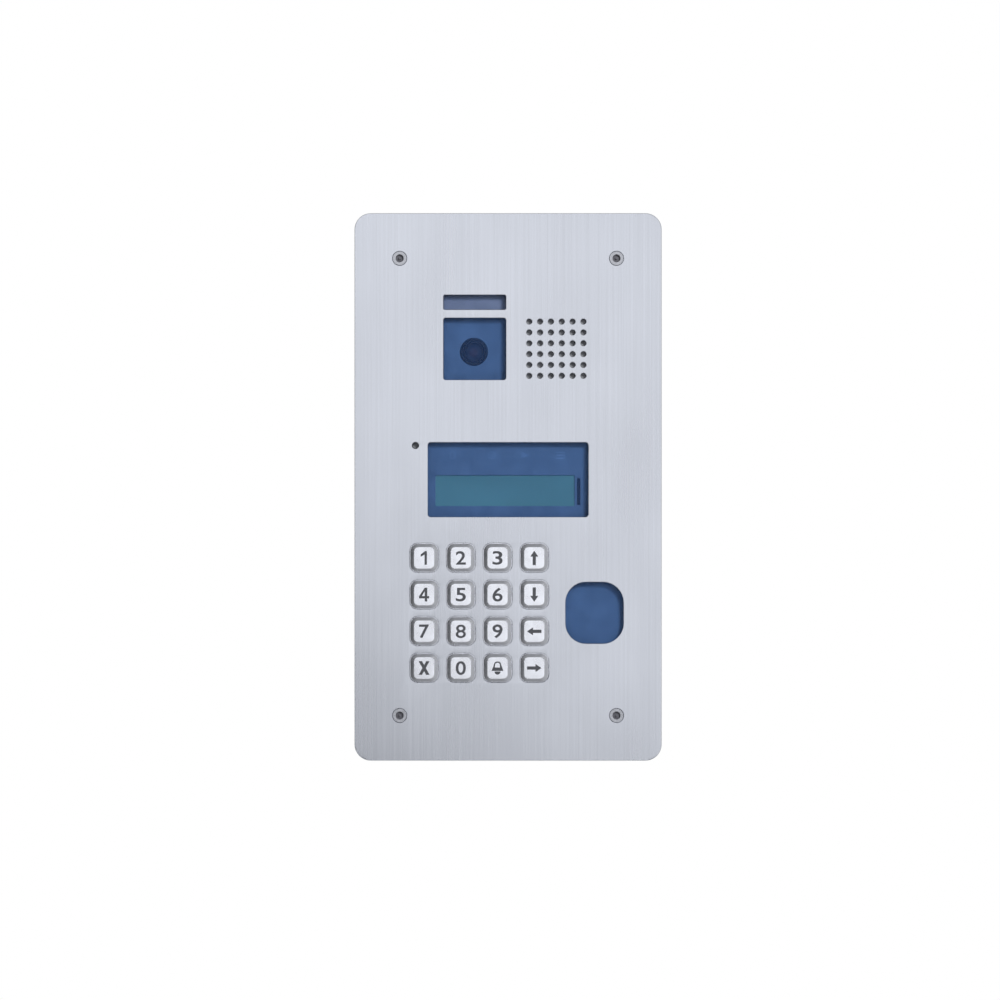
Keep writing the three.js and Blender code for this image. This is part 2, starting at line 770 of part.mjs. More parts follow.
function cameraRibbon() {
  const behindBracket = camera.pivot + bracket.back + bracket.thickness + gap + ribbonThickness / 2;
  const route = [[behindBracket, 72], [behindBracket, 62], [31.3, 53], [25, 46], [18.4, 40], [18.2, 32]];
  return ribbon(route, camera.x, 12);
}

function speakerLead() {
  const route = new THREE.CatmullRomCurve3([
    new THREE.Vector3(40, 13, 65),
    new THREE.Vector3(40.5, 11.5, 58),
    new THREE.Vector3(40, 10, 50),
    new THREE.Vector3(38.5, 11, 43),
    new THREE.Vector3(38, 15, 40),
  ]);
  const section = new THREE.Shape(circle(1.2, 0, 0, 8));
  return new THREE.ExtrudeGeometry(section, { extrudePath: route, steps: 14, bevelEnabled: false });
}

// ---------------------------------------------------------------- assembly

const intercom = new THREE.Group();

function add(parent, name, geometry, material, x = 0, y = 0, z = 0) {
  const mesh = new THREE.Mesh(geometry, material);
  mesh.name = name;
  mesh.position.set(x, y, z);
  parent.add(mesh);
}

const wallBox = new THREE.Group();
intercom.add(wallBox);
add(wallBox, 'flush_box', flushBox(), galvanised);
add(wallBox, 'cable_grommet', cableGrommet(), blackRubber);

const frontPanel = new THREE.Group();
intercom.add(frontPanel);
add(frontPanel, 'front_plate', frontPlate(), brushedSteel);
add(frontPanel, 'panel_gasket', panelGasket(), blackRubber);
for (const [number, side, end] of [[1, -1, 1], [2, 1, 1], [3, -1, -1], [4, 1, -1]]) {
  add(frontPanel, `panel_screw_${number}`, panelScrew(), screwSteel, side * screw.x, 0, end * screw.z);
}

add(frontPanel, 'camera_window', pane(cameraWindow), tintedGlazing);
add(frontPanel, 'illuminator_window', pane(lampWindow), tintedGlazing);
add(frontPanel, 'display_window', pane(displayWindow), tintedGlazing);
add(frontPanel, 'reader_window', pane(readerWindow, 5), tintedGlazing);
add(frontPanel, 'window_retainer', windowRetainer(), blackPlastic);

add(frontPanel, 'speaker_mesh', speakerMesh(), acousticMesh);
add(frontPanel, 'speaker_seal', speakerSeal(), greyRubber);
add(frontPanel, 'speaker_basket', speakerBasket(), galvanised);
add(frontPanel, 'speaker_cone', speakerCone(), paperCone);
add(frontPanel, 'speaker_magnet', speakerMagnet(), ferrite);
add(frontPanel, 'microphone_boot', microphoneBoot(), blackRubber);
add(frontPanel, 'microphone_capsule', microphoneCapsule(), galvanised);

add(frontPanel, 'display_bezel', displayBezel(), blackPlastic);
add(frontPanel, 'display_cell', displayCell(), displayGlassFinish);
add(frontPanel, 'display_board', displayBoard(), circuitBoard);

add(frontPanel, 'keypad_housing', keypadHousing(), blackPlastic);
add(frontPanel, 'keypad_mat', keypadMat(), greyRubber);
add(frontPanel, 'keypad_board', keypadBoard(), circuitBoard);
const keyNames = [
  'key_1', 'key_2', 'key_3', 'key_up',
  'key_4', 'key_5', 'key_6', 'key_down',
  'key_7', 'key_8', 'key_9', 'key_left',
  'key_cancel', 'key_0', 'key_bell', 'key_right',
];
keyPlaces().forEach(({ x, z }, place) => add(frontPanel, keyNames[place], keyCap(), keySteel, x, 0, z));

const cameraMount = new THREE.Group();
cameraMount.position.set(camera.x, camera.pivot, camera.z);
frontPanel.add(cameraMount);
add(cameraMount, 'camera_bracket', cameraBracket(), galvanised);
add(cameraMount, 'camera_pan_frame', cameraPanFrame(), blackPlastic);
add(cameraMount, 'camera_module', cameraModule(), blackPlastic);
add(cameraMount, 'camera_lens_barrel', cameraLensBarrel(), blackPlastic);
add(cameraMount, 'camera_lens_glass', cameraLensGlass(), lensGlass);
add(frontPanel, 'illuminator_board', illuminatorBoard(), circuitBoard);

add(frontPanel, 'main_board', mainBoardOnPillars(), circuitBoard);
add(frontPanel, 'terminal_block', terminalBlock(), greenPlastic);
add(frontPanel, 'volume_trimmer', volumeTrimmer(), whitePlastic);
add(frontPanel, 'volume_rotor', volumeRotor(), blackPlastic, trimmer.x, 0, trimmer.z);
add(frontPanel, 'tamper_switch', tamperSwitch(), blackPlastic, tamper.x, 0, tamper.z);
add(frontPanel, 'tamper_plunger', tamperPlunger(), whitePlastic, tamper.x, 0, tamper.z);
add(frontPanel, 'reader_module', readerModule(), blackPlastic);
add(frontPanel, 'display_ribbon', displayRibbon(), flatCable);
add(frontPanel, 'keypad_ribbon', keypadRibbon(), flatCable);
add(frontPanel, 'camera_ribbon', cameraRibbon(), flatCable);
add(frontPanel, 'speaker_lead', speakerLead(), wireSleeve);

export default intercom;
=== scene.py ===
"""Looks of a flush-mounted door intercom panel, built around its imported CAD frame.

The frame's own axes: +X is the visitor's right, +Z is up, and the front faces -Y. Sizes here are
in millimetres, and Solid turns them into the metres that every mesh is made in.
"""
import math
import random
from types import SimpleNamespace

import bmesh
import bpy
from mathutils import Matrix, Vector
from mathutils.geometry import delaunay_2d_cdt


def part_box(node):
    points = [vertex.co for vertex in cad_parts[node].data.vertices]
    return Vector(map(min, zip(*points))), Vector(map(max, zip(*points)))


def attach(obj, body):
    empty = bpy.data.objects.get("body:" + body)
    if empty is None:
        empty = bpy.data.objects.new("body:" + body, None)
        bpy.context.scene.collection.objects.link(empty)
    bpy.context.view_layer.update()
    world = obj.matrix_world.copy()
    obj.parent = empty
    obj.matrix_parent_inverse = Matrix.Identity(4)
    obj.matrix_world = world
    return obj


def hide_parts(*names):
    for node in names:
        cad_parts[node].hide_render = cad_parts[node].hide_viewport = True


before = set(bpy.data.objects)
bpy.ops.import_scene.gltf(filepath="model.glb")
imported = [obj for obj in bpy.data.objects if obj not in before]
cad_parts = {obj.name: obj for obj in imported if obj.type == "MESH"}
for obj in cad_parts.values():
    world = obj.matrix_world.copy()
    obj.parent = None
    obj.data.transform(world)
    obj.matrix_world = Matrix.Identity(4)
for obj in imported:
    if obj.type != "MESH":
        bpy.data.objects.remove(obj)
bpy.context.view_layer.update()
MM = 0.001


def span(node):
    """A CAD node's box in millimetres: its centre, its size and its six sides."""
    low, high = (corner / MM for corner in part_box(node))
    middle, size = (low + high) / 2, high - low
    return SimpleNamespace(
        x=middle.x, y=middle.y, z=middle.z, width=size.x, depth=size.y, height=size.z,
        left=low.x, right=high.x, front=low.y, back=high.y, bottom=low.z, top=high.z,
    )


# ------------------------------------------------------------------ camera

SENSOR = 36
LENS = 100
PANEL_SHARE_OF_WIDTH = 0.3075  # how much of the picture's width the front plate takes
RIGHT_OF_MIDDLE = 0.0081  # where the panel's centre is, as a share of the picture's width
ABOVE_MIDDLE = 0.0131


def add_camera():
    """Straight in front of the panel."""
    panel = span("front_plate")
    view_width = panel.width / PANEL_SHARE_OF_WIDTH
    data = bpy.data.cameras.new("camera")
    data.lens = LENS
    data.sensor_width = SENSOR
    camera = bpy.data.objects.new("camera", data)
    behind = Vector((-RIGHT_OF_MIDDLE * view_width, span("key_1").front, -ABOVE_MIDDLE * view_width))
    camera.location = (behind - Vector((0, view_width * LENS / SENSOR, 0))) * MM
    camera.rotation_euler = (math.radians(90), 0, 0)
    bpy.context.scene.collection.objects.link(camera)
    bpy.context.scene.camera = camera


add_camera()


# ------------------------------------------------------------------ outlines, seen from the front

class Rounded:
    """A rectangle with round corners."""

    def __init__(self, x, z, width, height, corner=0.0, steps=6):
        self.x, self.z, self.width, self.height = x, z, width, height
        self.corner, self.steps = corner, steps

    def grown(self, margin):
        return Rounded(self.x, self.z, self.width + 2 * margin, self.height + 2 * margin,
                       self.corner + margin, self.steps)

    def points(self, grow=0.0):
        corner = max(self.corner + grow, 0.02)
        reach_x = self.width / 2 + grow - corner
        reach_z = self.height / 2 + grow - corner
        points = []
        for quarter in range(4):
            across = 1 if quarter in (0, 3) else -1
            up = 1 if quarter < 2 else -1
            for step in range(self.steps + 1):
                angle = (quarter + step / self.steps) * math.pi / 2
                points.append((
                    self.x + across * reach_x + corner * math.cos(angle),
                    self.z + up * reach_z + corner * math.sin(angle),
                ))
        return points


class Circle:
    def __init__(self, x, z, radius, sides=32):
        self.x, self.z, self.radius, self.sides = x, z, radius, sides

    def stretch(self, turn):
        return 1

    def points(self, grow=0.0):
        turns = [2 * math.pi * side / self.sides for side in range(self.sides)]
        reaches = [(self.radius + grow) * self.stretch(turn) for turn in turns]
        return [(self.x + reach * math.cos(turn), self.z + reach * math.sin(turn))
                for reach, turn in zip(reaches, turns)]


class Hexagon(Circle):
    """A hexagon with the inner radius given, with as many points as a circle of its sides."""

    def stretch(self, turn):
        return 1 / math.cos((turn + math.pi / 6) % (math.pi / 3) - math.pi / 6)


class Polygon:
    """Straight-sided and square-edged."""

    def __init__(self, corners):
        self.corners = corners

    def points(self, grow=0.0):
        return self.corners


def outline_of(node, corner):
    """A CAD node's box as seen from the front, with round corners."""
    return Rounded(node.x, node.z, node.width, node.height, corner)


def corners_about(x, z, reach_x, reach_z):
    """Four places round a middle."""
    return [(x + dx, z + dz) for dx in (-reach_x, reach_x) for dz in (-reach_z, reach_z)]


def axial(rows, x=0.0, z=0.0, sides=24):
    """Levels about one axis for Solid.stack, from rows of an outline's class, radius and depth."""
    return [(kind(x, z, radius, sides) if radius else (x, z), depth) for kind, radius, depth in rows]


def disc(radius, front, back):
    """The profile of a plain round piece, for Solid.turn."""
    return [(0, front), (radius, front), (radius, back), (0, back)]


# ------------------------------------------------------------------ solids

class Solid:
    """Collects the closed shapes of one piece; `place` turns or moves them, in millimetres."""

    def __init__(self, place=None):
        self.bm = bmesh.new()
        self.place = place or Matrix.Identity(4)

    def ring(self, points):
        return [self.bm.verts.new((self.place @ Vector(point)) * MM) for point in points]

    def skin(self, rings):
        """Faces between neighbouring rings; a ring of one vertex is a pole."""
        for near, far in zip(rings, rings[1:]):
            count = max(len(near), len(far))
            for here in range(count):
                after = (here + 1) % count
                if len(near) == 1:
                    self.bm.faces.new((near[0], far[after], far[here]))
                elif len(far) == 1:
                    self.bm.faces.new((near[here], near[after], far[0]))
                else:
                    self.bm.faces.new((near[here], near[after], far[after], far[here]))

    def fill(self, rings):
        """A flat face inside the first ring and outside the others."""
        if len(rings) == 1:
            self.bm.faces.new(rings[0])
            return
        verts = [vert for ring in rings for vert in ring]
        back_in_plane = self.place.inverted()
        points = [(back_in_plane @ (vert.co / MM)).xz for vert in verts]
        starts = [sum(len(ring) for ring in rings[:place]) for place in range(len(rings))]
        loops = [list(range(start, start + len(ring))) for start, ring in zip(starts, rings)]
        _, _, faces, sources, _, owners = delaunay_2d_cdt(points, [], loops, 1, 1e-5)
        for face, owner in zip(faces, owners):
            if owner == [0]:
                self.bm.faces.new([verts[sources[corner][0]] for corner in face])

    def flat(self, outer, front, back, holes=(), edge=0.0, back_edge=0.0, sunk=(), steps=3):
        """A flat piece between two depths, its edges rounded over by `edge` and `back_edge`.

        `sunk` holds more holes, each with the width of the cone at its mouth.
        """
        turns = [step / steps * math.pi / 2 for step in range(steps + 1)]
        walls = [(outer, -1, 0), *((hole, 1, 0) for hole in holes)]
        walls += [(hole, 1, cone) for hole, cone in sunk]
        starts, ends = [], []
        for outline, sign, cone in walls:
            levels = [(cone, front), (0, front + cone)] if cone else [(0, front)]
            if edge and not cone:
                levels = [(sign * edge * (1 - math.sin(turn)), front + edge * (1 - math.cos(turn)))
                          for turn in turns]
            levels += [(sign * back_edge * (1 - math.cos(turn)), back - back_edge * (1 - math.sin(turn)))
                       for turn in (turns if back_edge else [0])]
            rings = [self.ring([(x, depth, z) for x, z in outline.points(grow)]) for grow, depth in levels]
            self.skin(rings)
            starts.append(rings[0])
            ends.append(rings[-1])
        self.fill(starts)
        self.fill(ends)
        return self

    def slab(self, outer, front, back, edge, holes=()):
        """A flat piece with the same edges in front and behind."""
        return self.flat(outer, front, back, holes, edge=edge, back_edge=edge)

    def box(self, x, z, width, height, front, back, edge):
        """A block about x and z with all its edges rounded."""
        outline = Rounded(x, z, width, height, edge, steps=2)
        return self.flat(outline, front, back, edge=edge, back_edge=edge, steps=2)

    def turn(self, profile, x=0.0, z=0.0, sides=48):
        """[radius, depth] points turned about an axis along Y; ends on the axis, or closes on itself."""
        rows = [(Circle, radius, depth) for radius, depth in profile]
        return self.stack(axial(rows, x, z, sides), closed=profile[0][0] > 0)

    def stack(self, levels, closed=False):
        """A skin through (outline, depth) levels; a plain (x, z) point is a pole."""
        rings = []
        for outline, depth in levels:
            points = [outline] if isinstance(outline, tuple) else outline.points()
            rings.append(self.ring([(x, depth, z) for x, z in points]))
        self.skin([*rings, rings[0]] if closed else rings)
        if not closed:
            for end in (rings[0], rings[-1]):
                if len(end) > 1:
                    self.bm.faces.new(end)
        return self

    def mesh(self, name):
        bmesh.ops.recalc_face_normals(self.bm, faces=self.bm.faces)
        mesh = bpy.data.meshes.new(name)
        self.bm.to_mesh(mesh)
        self.bm.free()
        return mesh


def placed_object(name, mesh, at=(0, 0, 0)):
    made = bpy.data.objects.new(name, mesh)
    made.location = Vector(at) * MM
    bpy.context.scene.collection.objects.link(made)
    return made


def applied(thing, name):
    """The mesh of an object with its modifiers applied; the object goes."""
    bpy.context.view_layer.update()
    graph = bpy.context.evaluated_depsgraph_get()
    mesh = bpy.data.meshes.new_from_object(thing.evaluated_get(graph), depsgraph=graph)
    mesh.name = name
    bpy.data.objects.remove(thing)
    return mesh


def cut(mesh, tool_mesh):
    """The mesh with the tool's shapes cut out of it."""
    body = placed_object("body", mesh)
    tool = placed_object("tool", tool_mesh)
    cutting = body.modifiers.new("cut", "BOOLEAN")
    cutting.operation = "DIFFERENCE"
    cutting.solver = "EXACT"
    cutting.use_self = True
    cutting.object = tool
    made = applied(body, mesh.name)
    bpy.data.objects.remove(tool)
    return made


SHARP_ANGLE = math.radians(35)  # faces that meet at more than this stay sharp


def show(name, shape, finish, body="front_panel", replaces=(), at=(0, 0, 0)):
    """Makes the object of one piece from a solid or a mesh, smooth-shaded up to an angle, on its body."""
    mesh = shape.mesh(name) if isinstance(shape, Solid) else shape
    if not mesh.materials:
        mesh.materials.append(finish.material)
    mesh.shade_smooth()
    mesh.set_sharp_from_angle(angle=SHARP_ANGLE)
    piece = placed_object(name, mesh, at)
    piece.modifiers.new("flat_faces_stay_flat", "WEIGHTED_NORMAL").keep_sharp = True
    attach(piece, body)
    if replaces:
        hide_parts(*replaces)


def show_round(name, profile, finish, axis, sides=64, replaces=()):
    """Shows a piece turned about a CAD node's axis."""
    show(name, Solid().turn(profile, axis.x, axis.z, sides), finish, replaces=replaces)


def keep(finish, *nodes, bevel=0.25):
    """Carries CAD nodes over with a fine finish and softened edges."""
    for node in nodes:
        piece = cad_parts[node]
        piece.data.materials.clear()
        piece.data.materials.append(finish.material)
        piece.modifiers.new("weld", "WELD").merge_threshold = 0.001 * MM
        soft = piece.modifiers.new("soft_edges", "BEVEL")
        soft.width = bevel * MM
        soft.segments = 2
        soft.limit_method = "ANGLE"
        soft.angle_limit = math.radians(40)
        soft.harden_normals = True


# ------------------------------------------------------------------ finishes

class Nodes:
    """Adds shader nodes to a tree and links them."""

    def __init__(self, tree):
        self.tree = tree

    def node(self, kind, links=(), **settings):
        made = self.tree.nodes.new("ShaderNode" + kind)
        for setting, value in settings.items():
            setattr(made, setting, value)
        for socket, source in dict(links).items():
            self.feed(made.inputs[socket], source)
        return made

    def feed(self, socket, source):
        if isinstance(source, bpy.types.NodeSocket):
            self.tree.links.new(source, socket)
        elif socket.type == "RGBA":
            socket.default_value = (*source, 1)
        else:
            socket.default_value = source

    def between(self, value, low=0.3, high=0.7, out_low=0.0, out_high=1.0):
        """`value` from low to high mapped to out_low to out_high, clamped."""
        links = {"Value": value, "From Min": low, "From Max": high, "To Min": out_low, "To Max": out_high}
        return self.node("MapRange", links).outputs["Result"]

    def math(self, operation, first, second=0.0):
        return self.node("Math", {0: first, 1: second}, operation=operation).outputs[0]


class Finish(Nodes):
    """A node-based material: one Principled shader, textured in the piece's own coordinates."""

    def __init__(self, name, slot, color, roughness, metallic=0.0, **sockets):
        self.slot = slot
        self.material = bpy.data.materials.new(name)
        self.material.use_nodes = True
        super().__init__(self.material.node_tree)
        self.shader = self.tree.nodes["Principled BSDF"]
        self.color, self.roughness = color, roughness
        self.set_socket("Base Color", (*color, 1))
        self.set_socket("Roughness", roughness)
        self.set_socket("Metallic", metallic)
        for socket, value in sockets.items():
            self.set_socket(socket.replace("_", " ").title().replace("Ior", "IOR"), value)
        self.coordinates = self.node("TexCoord").outputs["Object"]
        self.normal = None

    def set_socket(self, socket, value):
        self.shader.inputs[socket].default_value = value

    def noise(self, size, stretch=(1, 1, 1), detail=3.0):
        """Noise with features about `size` millimetres across, drawn out by `stretch`."""
        scale = tuple(1 / (size * MM * way) for way in stretch)
        mapped = self.node("Mapping", {"Vector": self.coordinates, "Scale": scale}).outputs[0]
        return self.node("TexNoise", {"Vector": mapped, "Scale": 1.0, "Detail": detail}).outputs["Fac"]

    def cells(self, size):
        """A different shade, 0 to 1, for each crystal of about `size` millimetres."""
        voronoi = self.node("TexVoronoi", {"Vector": self.coordinates, "Scale": 1 / (size * MM)})
        return self.node("SeparateColor", {"Color": voronoi.outputs["Color"]}).outputs[0]

    def bricks(self, width, height, line, offset=0.0):
        """1 on the lines between upright bricks of a size in millimetres, seen from the front."""
        links = {"Vector": self.coordinates, "Rotation": (math.radians(90), 0, 0)}
        turned = self.node("Mapping", links).outputs[0]
        links = {"Vector": turned, "Scale": 1.0, "Mortar Size": line * MM,
                 "Brick Width": width * MM, "Row Height": height * MM}
        return self.node("TexBrick", links, offset=offset).outputs["Fac"]

    def waves(self, pitch, direction="X", kind="BANDS"):
        """Even waves `pitch` millimetres apart."""
        links = {"Vector": self.coordinates, "Scale": math.pi / 10 / (pitch * MM)}
        made = self.node("TexWave", links, wave_type=kind)
        setattr(made, "bands_direction" if kind == "BANDS" else "rings_direction", direction)
        return made.outputs["Fac"]

    def tint(self, factor, amount=None, color=None):
        """Colours the base by `factor`: darker to lighter by `amount`, or towards `color`."""
        links = self.shader.inputs["Base Color"].links
        first = links[0].from_socket if links else self.color
        if color is None:
            first = tuple(part * (1 - amount) for part in self.color)
            color = tuple(min(1.0, part * (1 + amount)) for part in self.color)
        mixer = self.node("MixRGB", {"Fac": factor, "Color1": first, "Color2": color})
        self.tree.links.new(mixer.outputs[0], self.shader.inputs["Base Color"])
        return self

    def gloss(self, factor, spread):
        """Roughness varies by `spread` either way."""
        low, high = self.roughness - spread, self.roughness + spread
        self.tree.links.new(self.between(factor, 0.25, 0.75, low, high), self.shader.inputs["Roughness"])
        return self

    def relief(self, height, depth, strength=0.5):
        """Bump of about `depth` millimetres; a second call adds to the first."""
        links = {"Height": height, "Distance": depth * MM, "Strength": strength}
        if self.normal:
            links["Normal"] = self.normal
        self.normal = self.node("Bump", links).outputs["Normal"]
        self.tree.links.new(self.normal, self.shader.inputs["Normal"])
        return self

    def blend(self, first, second, share):
        """The sum of two values, with `share` of the first."""
        return self.math("ADD", self.math("MULTIPLY", first, share), self.math("MULTIPLY", second, 1 - share))


def brushed_steel():
    """Sheet steel brushed from top to bottom: fine hairlines, wider streaks and a faint cloudiness."""
    steel = Finish("brushed_steel", "brushed_steel", (0.60, 0.62, 0.675), 0.25, metallic=1.0)
    hairlines = steel.noise(0.45, (1, 1, 240), detail=4)
    streaks = steel.noise(2.4, (1, 1, 110), detail=3)
    clouds = steel.noise(45, (1, 1, 1.8), detail=2)
    lines = steel.blend(hairlines, streaks, 0.65)
    steel.tint(steel.between(lines, 0.35, 0.65), amount=0.06)
    return steel.gloss(steel.blend(clouds, lines, 0.5), 0.06).relief(hairlines, 0.01, 0.12)


def key_metal():
    """Cast metal keys with a satin plating, polished a little on top by fingers."""
    metal = Finish("key_metal", "key_steel", (0.84, 0.855, 0.91), 0.25, metallic=1.0)
    grain = metal.noise(0.5, detail=4)
    patches = metal.noise(6, detail=2)
    return metal.tint(metal.between(patches), amount=0.04).gloss(patches, 0.06).relief(grain, 0.01, 0.3)


def mottled(name, slot, color, roughness, size, amount, depth, strength,
            low=0.3, detail=5, spread=0.0, **sockets):
    """One noise shades the finish, lifts it and, with `spread`, varies its gloss."""
    surface = Finish(name, slot, color, roughness, **sockets)
    marks = surface.noise(size, detail=detail)
    if spread:
        surface.gloss(marks, spread)
    return surface.tint(surface.between(marks, low), amount=amount).relief(marks, depth, strength)


def zinc_coat():
    """Galvanised sheet: faint spangled crystals, white bloom and dull patches."""
    zinc = Finish("zinc_coat", "galvanised_steel", (0.46, 0.48, 0.50), 0.44, metallic=0.9)
    shade = zinc.blend(zinc.cells(4), zinc.noise(7, detail=5), 0.5)
    bloom = zinc.noise(24, detail=5)
    zinc.tint(shade, amount=0.05)
    zinc.tint(zinc.between(bloom, 0.52, 0.75, 0, 0.5), color=(0.62, 0.63, 0.63))
    return zinc.gloss(shade, 0.05).relief(zinc.noise(0.8, detail=4), 0.02, 0.3).relief(shade, 0.01, 0.08)


def turned_steel():
    """Screw heads: rings left by the lathe about the piece's own axis."""
    steel = Finish("turned_steel", "screw_steel", (0.52, 0.53, 0.57), 0.33, metallic=1.0)
    smudges = steel.noise(1.5, detail=4)
    steel.tint(steel.between(smudges), amount=0.15)
    return steel.gloss(smudges, 0.1).relief(steel.waves(0.25, "Y", "RINGS"), 0.01, 0.35)


def plain_metal(name, slot, color, roughness):
    return mottled(name, slot, color, roughness, 1.1, 0.1, 0.02, 0.3, spread=0.08, metallic=1.0)


CLEAR_SHARE = 0.745  # how much of the light goes through the glazing


def tinted_glazing(name, tint):
    """Blue polycarbonate, see-through, with faint flow marks from moulding."""
    glazing = Finish(name, "tinted_glazing", (0.02, 0.046, 0.115), 0.1, ior=1.35)
    flow = glazing.noise(14, (2.5, 1, 1), detail=2)
    glazing.tint(glazing.between(flow), amount=0.12)
    glazing.gloss(glazing.noise(1.2), 0.03).relief(flow, 0.06, 0.15)
    clear = glazing.node("BsdfTransparent", {"Color": tint})
    output = glazing.tree.nodes["Material Output"]
    both = glazing.node("MixShader", {0: CLEAR_SHARE, 1: glazing.shader.outputs[0], 2: clear.outputs[0]})
    glazing.tree.links.new(both.outputs[0], output.inputs["Surface"])
    return glazing


def moulded(name, slot, color, roughness=0.5):
    """Moulded plastic with a spark-eroded grain."""
    plastic = Finish(name, slot, color, roughness, specular_ior_level=0.45)
    patches = plastic.noise(9)
    plastic.tint(plastic.between(patches), amount=0.12)
    return plastic.gloss(patches, 0.06).relief(plastic.noise(0.35), 0.03)


def rubber(name, slot, color):
    soft = Finish(name, slot, color, 0.78, specular_ior_level=0.3)
    dust = soft.noise(3, detail=6)
    soft.tint(soft.between(dust, 0.45, 0.75, 0, 0.35), color=tuple(part + 0.08 for part in color))
    return soft.gloss(dust, 0.08).relief(soft.noise(0.4), 0.04)


def circuit_laminate(name, color, trace_color):
    """Solder mask over traces, which lighten it."""
    board = Finish(name, "circuit_board", color, 0.36, coat_weight=0.3, coat_roughness=0.2)
    areas = board.between(board.noise(11, detail=1), 0.46, 0.5)
    lanes = board.bricks(9, 1.3, 0.16, offset=0.37)
    risers = board.bricks(1.4, 11, 0.16, offset=0.2)
    traces = board.math("ADD", board.math("MULTIPLY", lanes, areas),
                        board.math("MULTIPLY", risers, board.math("SUBTRACT", 1.0, areas)))
    board.tint(board.between(traces, 0, 1), color=trace_color)
    return board.relief(traces, 0.02, 0.4).relief(board.noise(0.5, detail=1), 0.01, 0.2)


def black_anodised():
    barrel = Finish("black_anodised", "lens_barrel", (0.022, 0.023, 0.026), 0.32, metallic=0.6)
    grooves = barrel.waves(0.5, "Y")
    return barrel.gloss(barrel.noise(1.5), 0.08).relief(grooves, 0.05, 0.5)


def coated_glass():
    """The front lens: dark, with a faint red-violet painted reflection of its coating in its middle."""
    glass = Finish("coated_glass", "lens_glass", (0.012, 0.018, 0.035), 0.05, coat_weight=0.5,
                   coat_roughness=0.03, ior=1.5)
    axis = glass.node("Mapping", {"Vector": glass.coordinates, "Scale": (1, 0, 1)}).outputs[0]
    middle = glass.node("VectorMath", {0: axis}, operation="LENGTH").outputs["Value"]
    # Painted reflection: the base colour turns red-violet towards the axis, standing in for the coating's
    # reflection.
    glass.tint(glass.between(middle, 3.4 * MM, 1.2 * MM, 0, 1), color=(0.15, 0.04, 0.045))
    return glass.gloss(glass.noise(2), 0.01)


def display_ground():
    """A liquid-crystal cell: rows of faint character blocks on a yellow-green ground."""
    ground = Finish("display_ground", "display_glass", (0.43, 0.68, 0.41), 0.16, coat_weight=0.5,
                    coat_roughness=0.06)
    ground.tint(ground.between(ground.noise(20, (2, 1, 1), detail=1)), amount=0.1)
    blocks = ground.bricks(3.7, 7.2, 0.35)
    return ground.tint(ground.math("MULTIPLY", blocks, 0.25), color=(0.50, 0.76, 0.48))


def clear_glass():
    """The edges of the display's glass, greenish."""
    glass = Finish("cell_glass", "display_glass", (0.25, 0.36, 0.33), 0.08, coat_weight=0.5)
    return glass.tint(glass.noise(6), color=(0.30, 0.42, 0.38)).gloss(glass.noise(3), 0.02)


def woven_mesh():
    mesh = Finish("woven_mesh", "acoustic_mesh", (0.11, 0.112, 0.122), 0.7)
    threads = mesh.math("MAXIMUM", mesh.waves(0.35, "X"), mesh.waves(0.35, "Z"))
    return mesh.tint(mesh.between(threads, 0.6, 1), color=(0.40, 0.405, 0.43)).relief(threads, 0.1, 0.8)


def flat_cable():
    """White film with the conductors showing through as parallel lines."""
    film = Finish("flat_cable", "flat_cable", (0.62, 0.62, 0.58), 0.42)
    lines = film.waves(1.27)
    return film.tint(film.between(lines, 0.55, 0.85), color=(0.42, 0.36, 0.28)).relief(lines, 0.06)


STEEL = brushed_steel()
KEY_METAL = key_metal()
ENAMEL = mottled("glyph_enamel", "key_steel", (0.05, 0.052, 0.06), 0.5, 0.3, 0.3, 0.02, 0.4, detail=3)
ZINC = zinc_coat()
SCREW_STEEL = turned_steel()
GLAZING = tinted_glazing("tinted_glazing", (0.675, 0.81, 0.98))
LAMP_GLAZING = tinted_glazing("lamp_glazing", (0.83, 0.875, 0.98))
BLACK_RUBBER = rubber("black_rubber", "black_rubber", (0.02, 0.02, 0.022))
GREY_RUBBER = rubber("grey_rubber", "grey_rubber", (0.16, 0.17, 0.18))
BLACK_PLASTIC = moulded("black_plastic", "black_plastic", (0.02, 0.022, 0.026))
GREY_PLASTIC = moulded("grey_plastic", "black_plastic", (0.43, 0.435, 0.44), 0.45)
PALE_PLASTIC = moulded("pale_plastic", "white_plastic", (0.62, 0.62, 0.60), 0.42)
WHITE_PLASTIC = moulded("white_plastic", "white_plastic", (0.70, 0.71, 0.70), 0.42)
GREEN_PLASTIC = moulded("green_plastic", "green_plastic", (0.03, 0.24, 0.10), 0.42)
SLEEVE = moulded("wire_sleeve", "wire_sleeve", (0.30, 0.02, 0.02), 0.4)
CHIP = moulded("chip_epoxy", "black_plastic", (0.016, 0.016, 0.018), 0.45)
CAN_SLEEVE = moulded("capacitor_sleeve", "circuit_board", (0.012, 0.022, 0.075), 0.3)
RELAY = moulded("relay_case", "circuit_board", (0.03, 0.09, 0.30), 0.4)
FELT = rubber("dark_felt", "acoustic_mesh", (0.20, 0.205, 0.225))
# Painted shade: a dark finish laid on the faces inside the screw sockets, where the recess falls into shadow.
SOCKET_SHADE = rubber("socket_painted_shade", "screw_steel", (0.10, 0.10, 0.115))
INK = moulded("ink", "white_plastic", (0.52, 0.54, 0.56), 0.5)
LAMINATE = circuit_laminate("green_laminate", (0.012, 0.085, 0.045), (0.02, 0.125, 0.062))
WHITE_LAMINATE = circuit_laminate("white_laminate", (0.58, 0.59, 0.59), (0.66, 0.67, 0.67))
ANODISED = black_anodised()
LENS_GLASS = coated_glass()
DISPLAY = display_ground()
CELL_GLASS = clear_glass()
MESH = woven_mesh()
CONE = mottled("paper_cone", "speaker_cone", (0.028, 0.028, 0.03), 0.75, 1.2, 0.5, 0.08, 0.6,
               low=0.4, detail=6)
FERRITE = mottled("ferrite", "ferrite", (0.05, 0.05, 0.053), 0.62, 0.9, 0.35, 0.06, 0.7, low=0.35)
FLAT_CABLE = flat_cable()
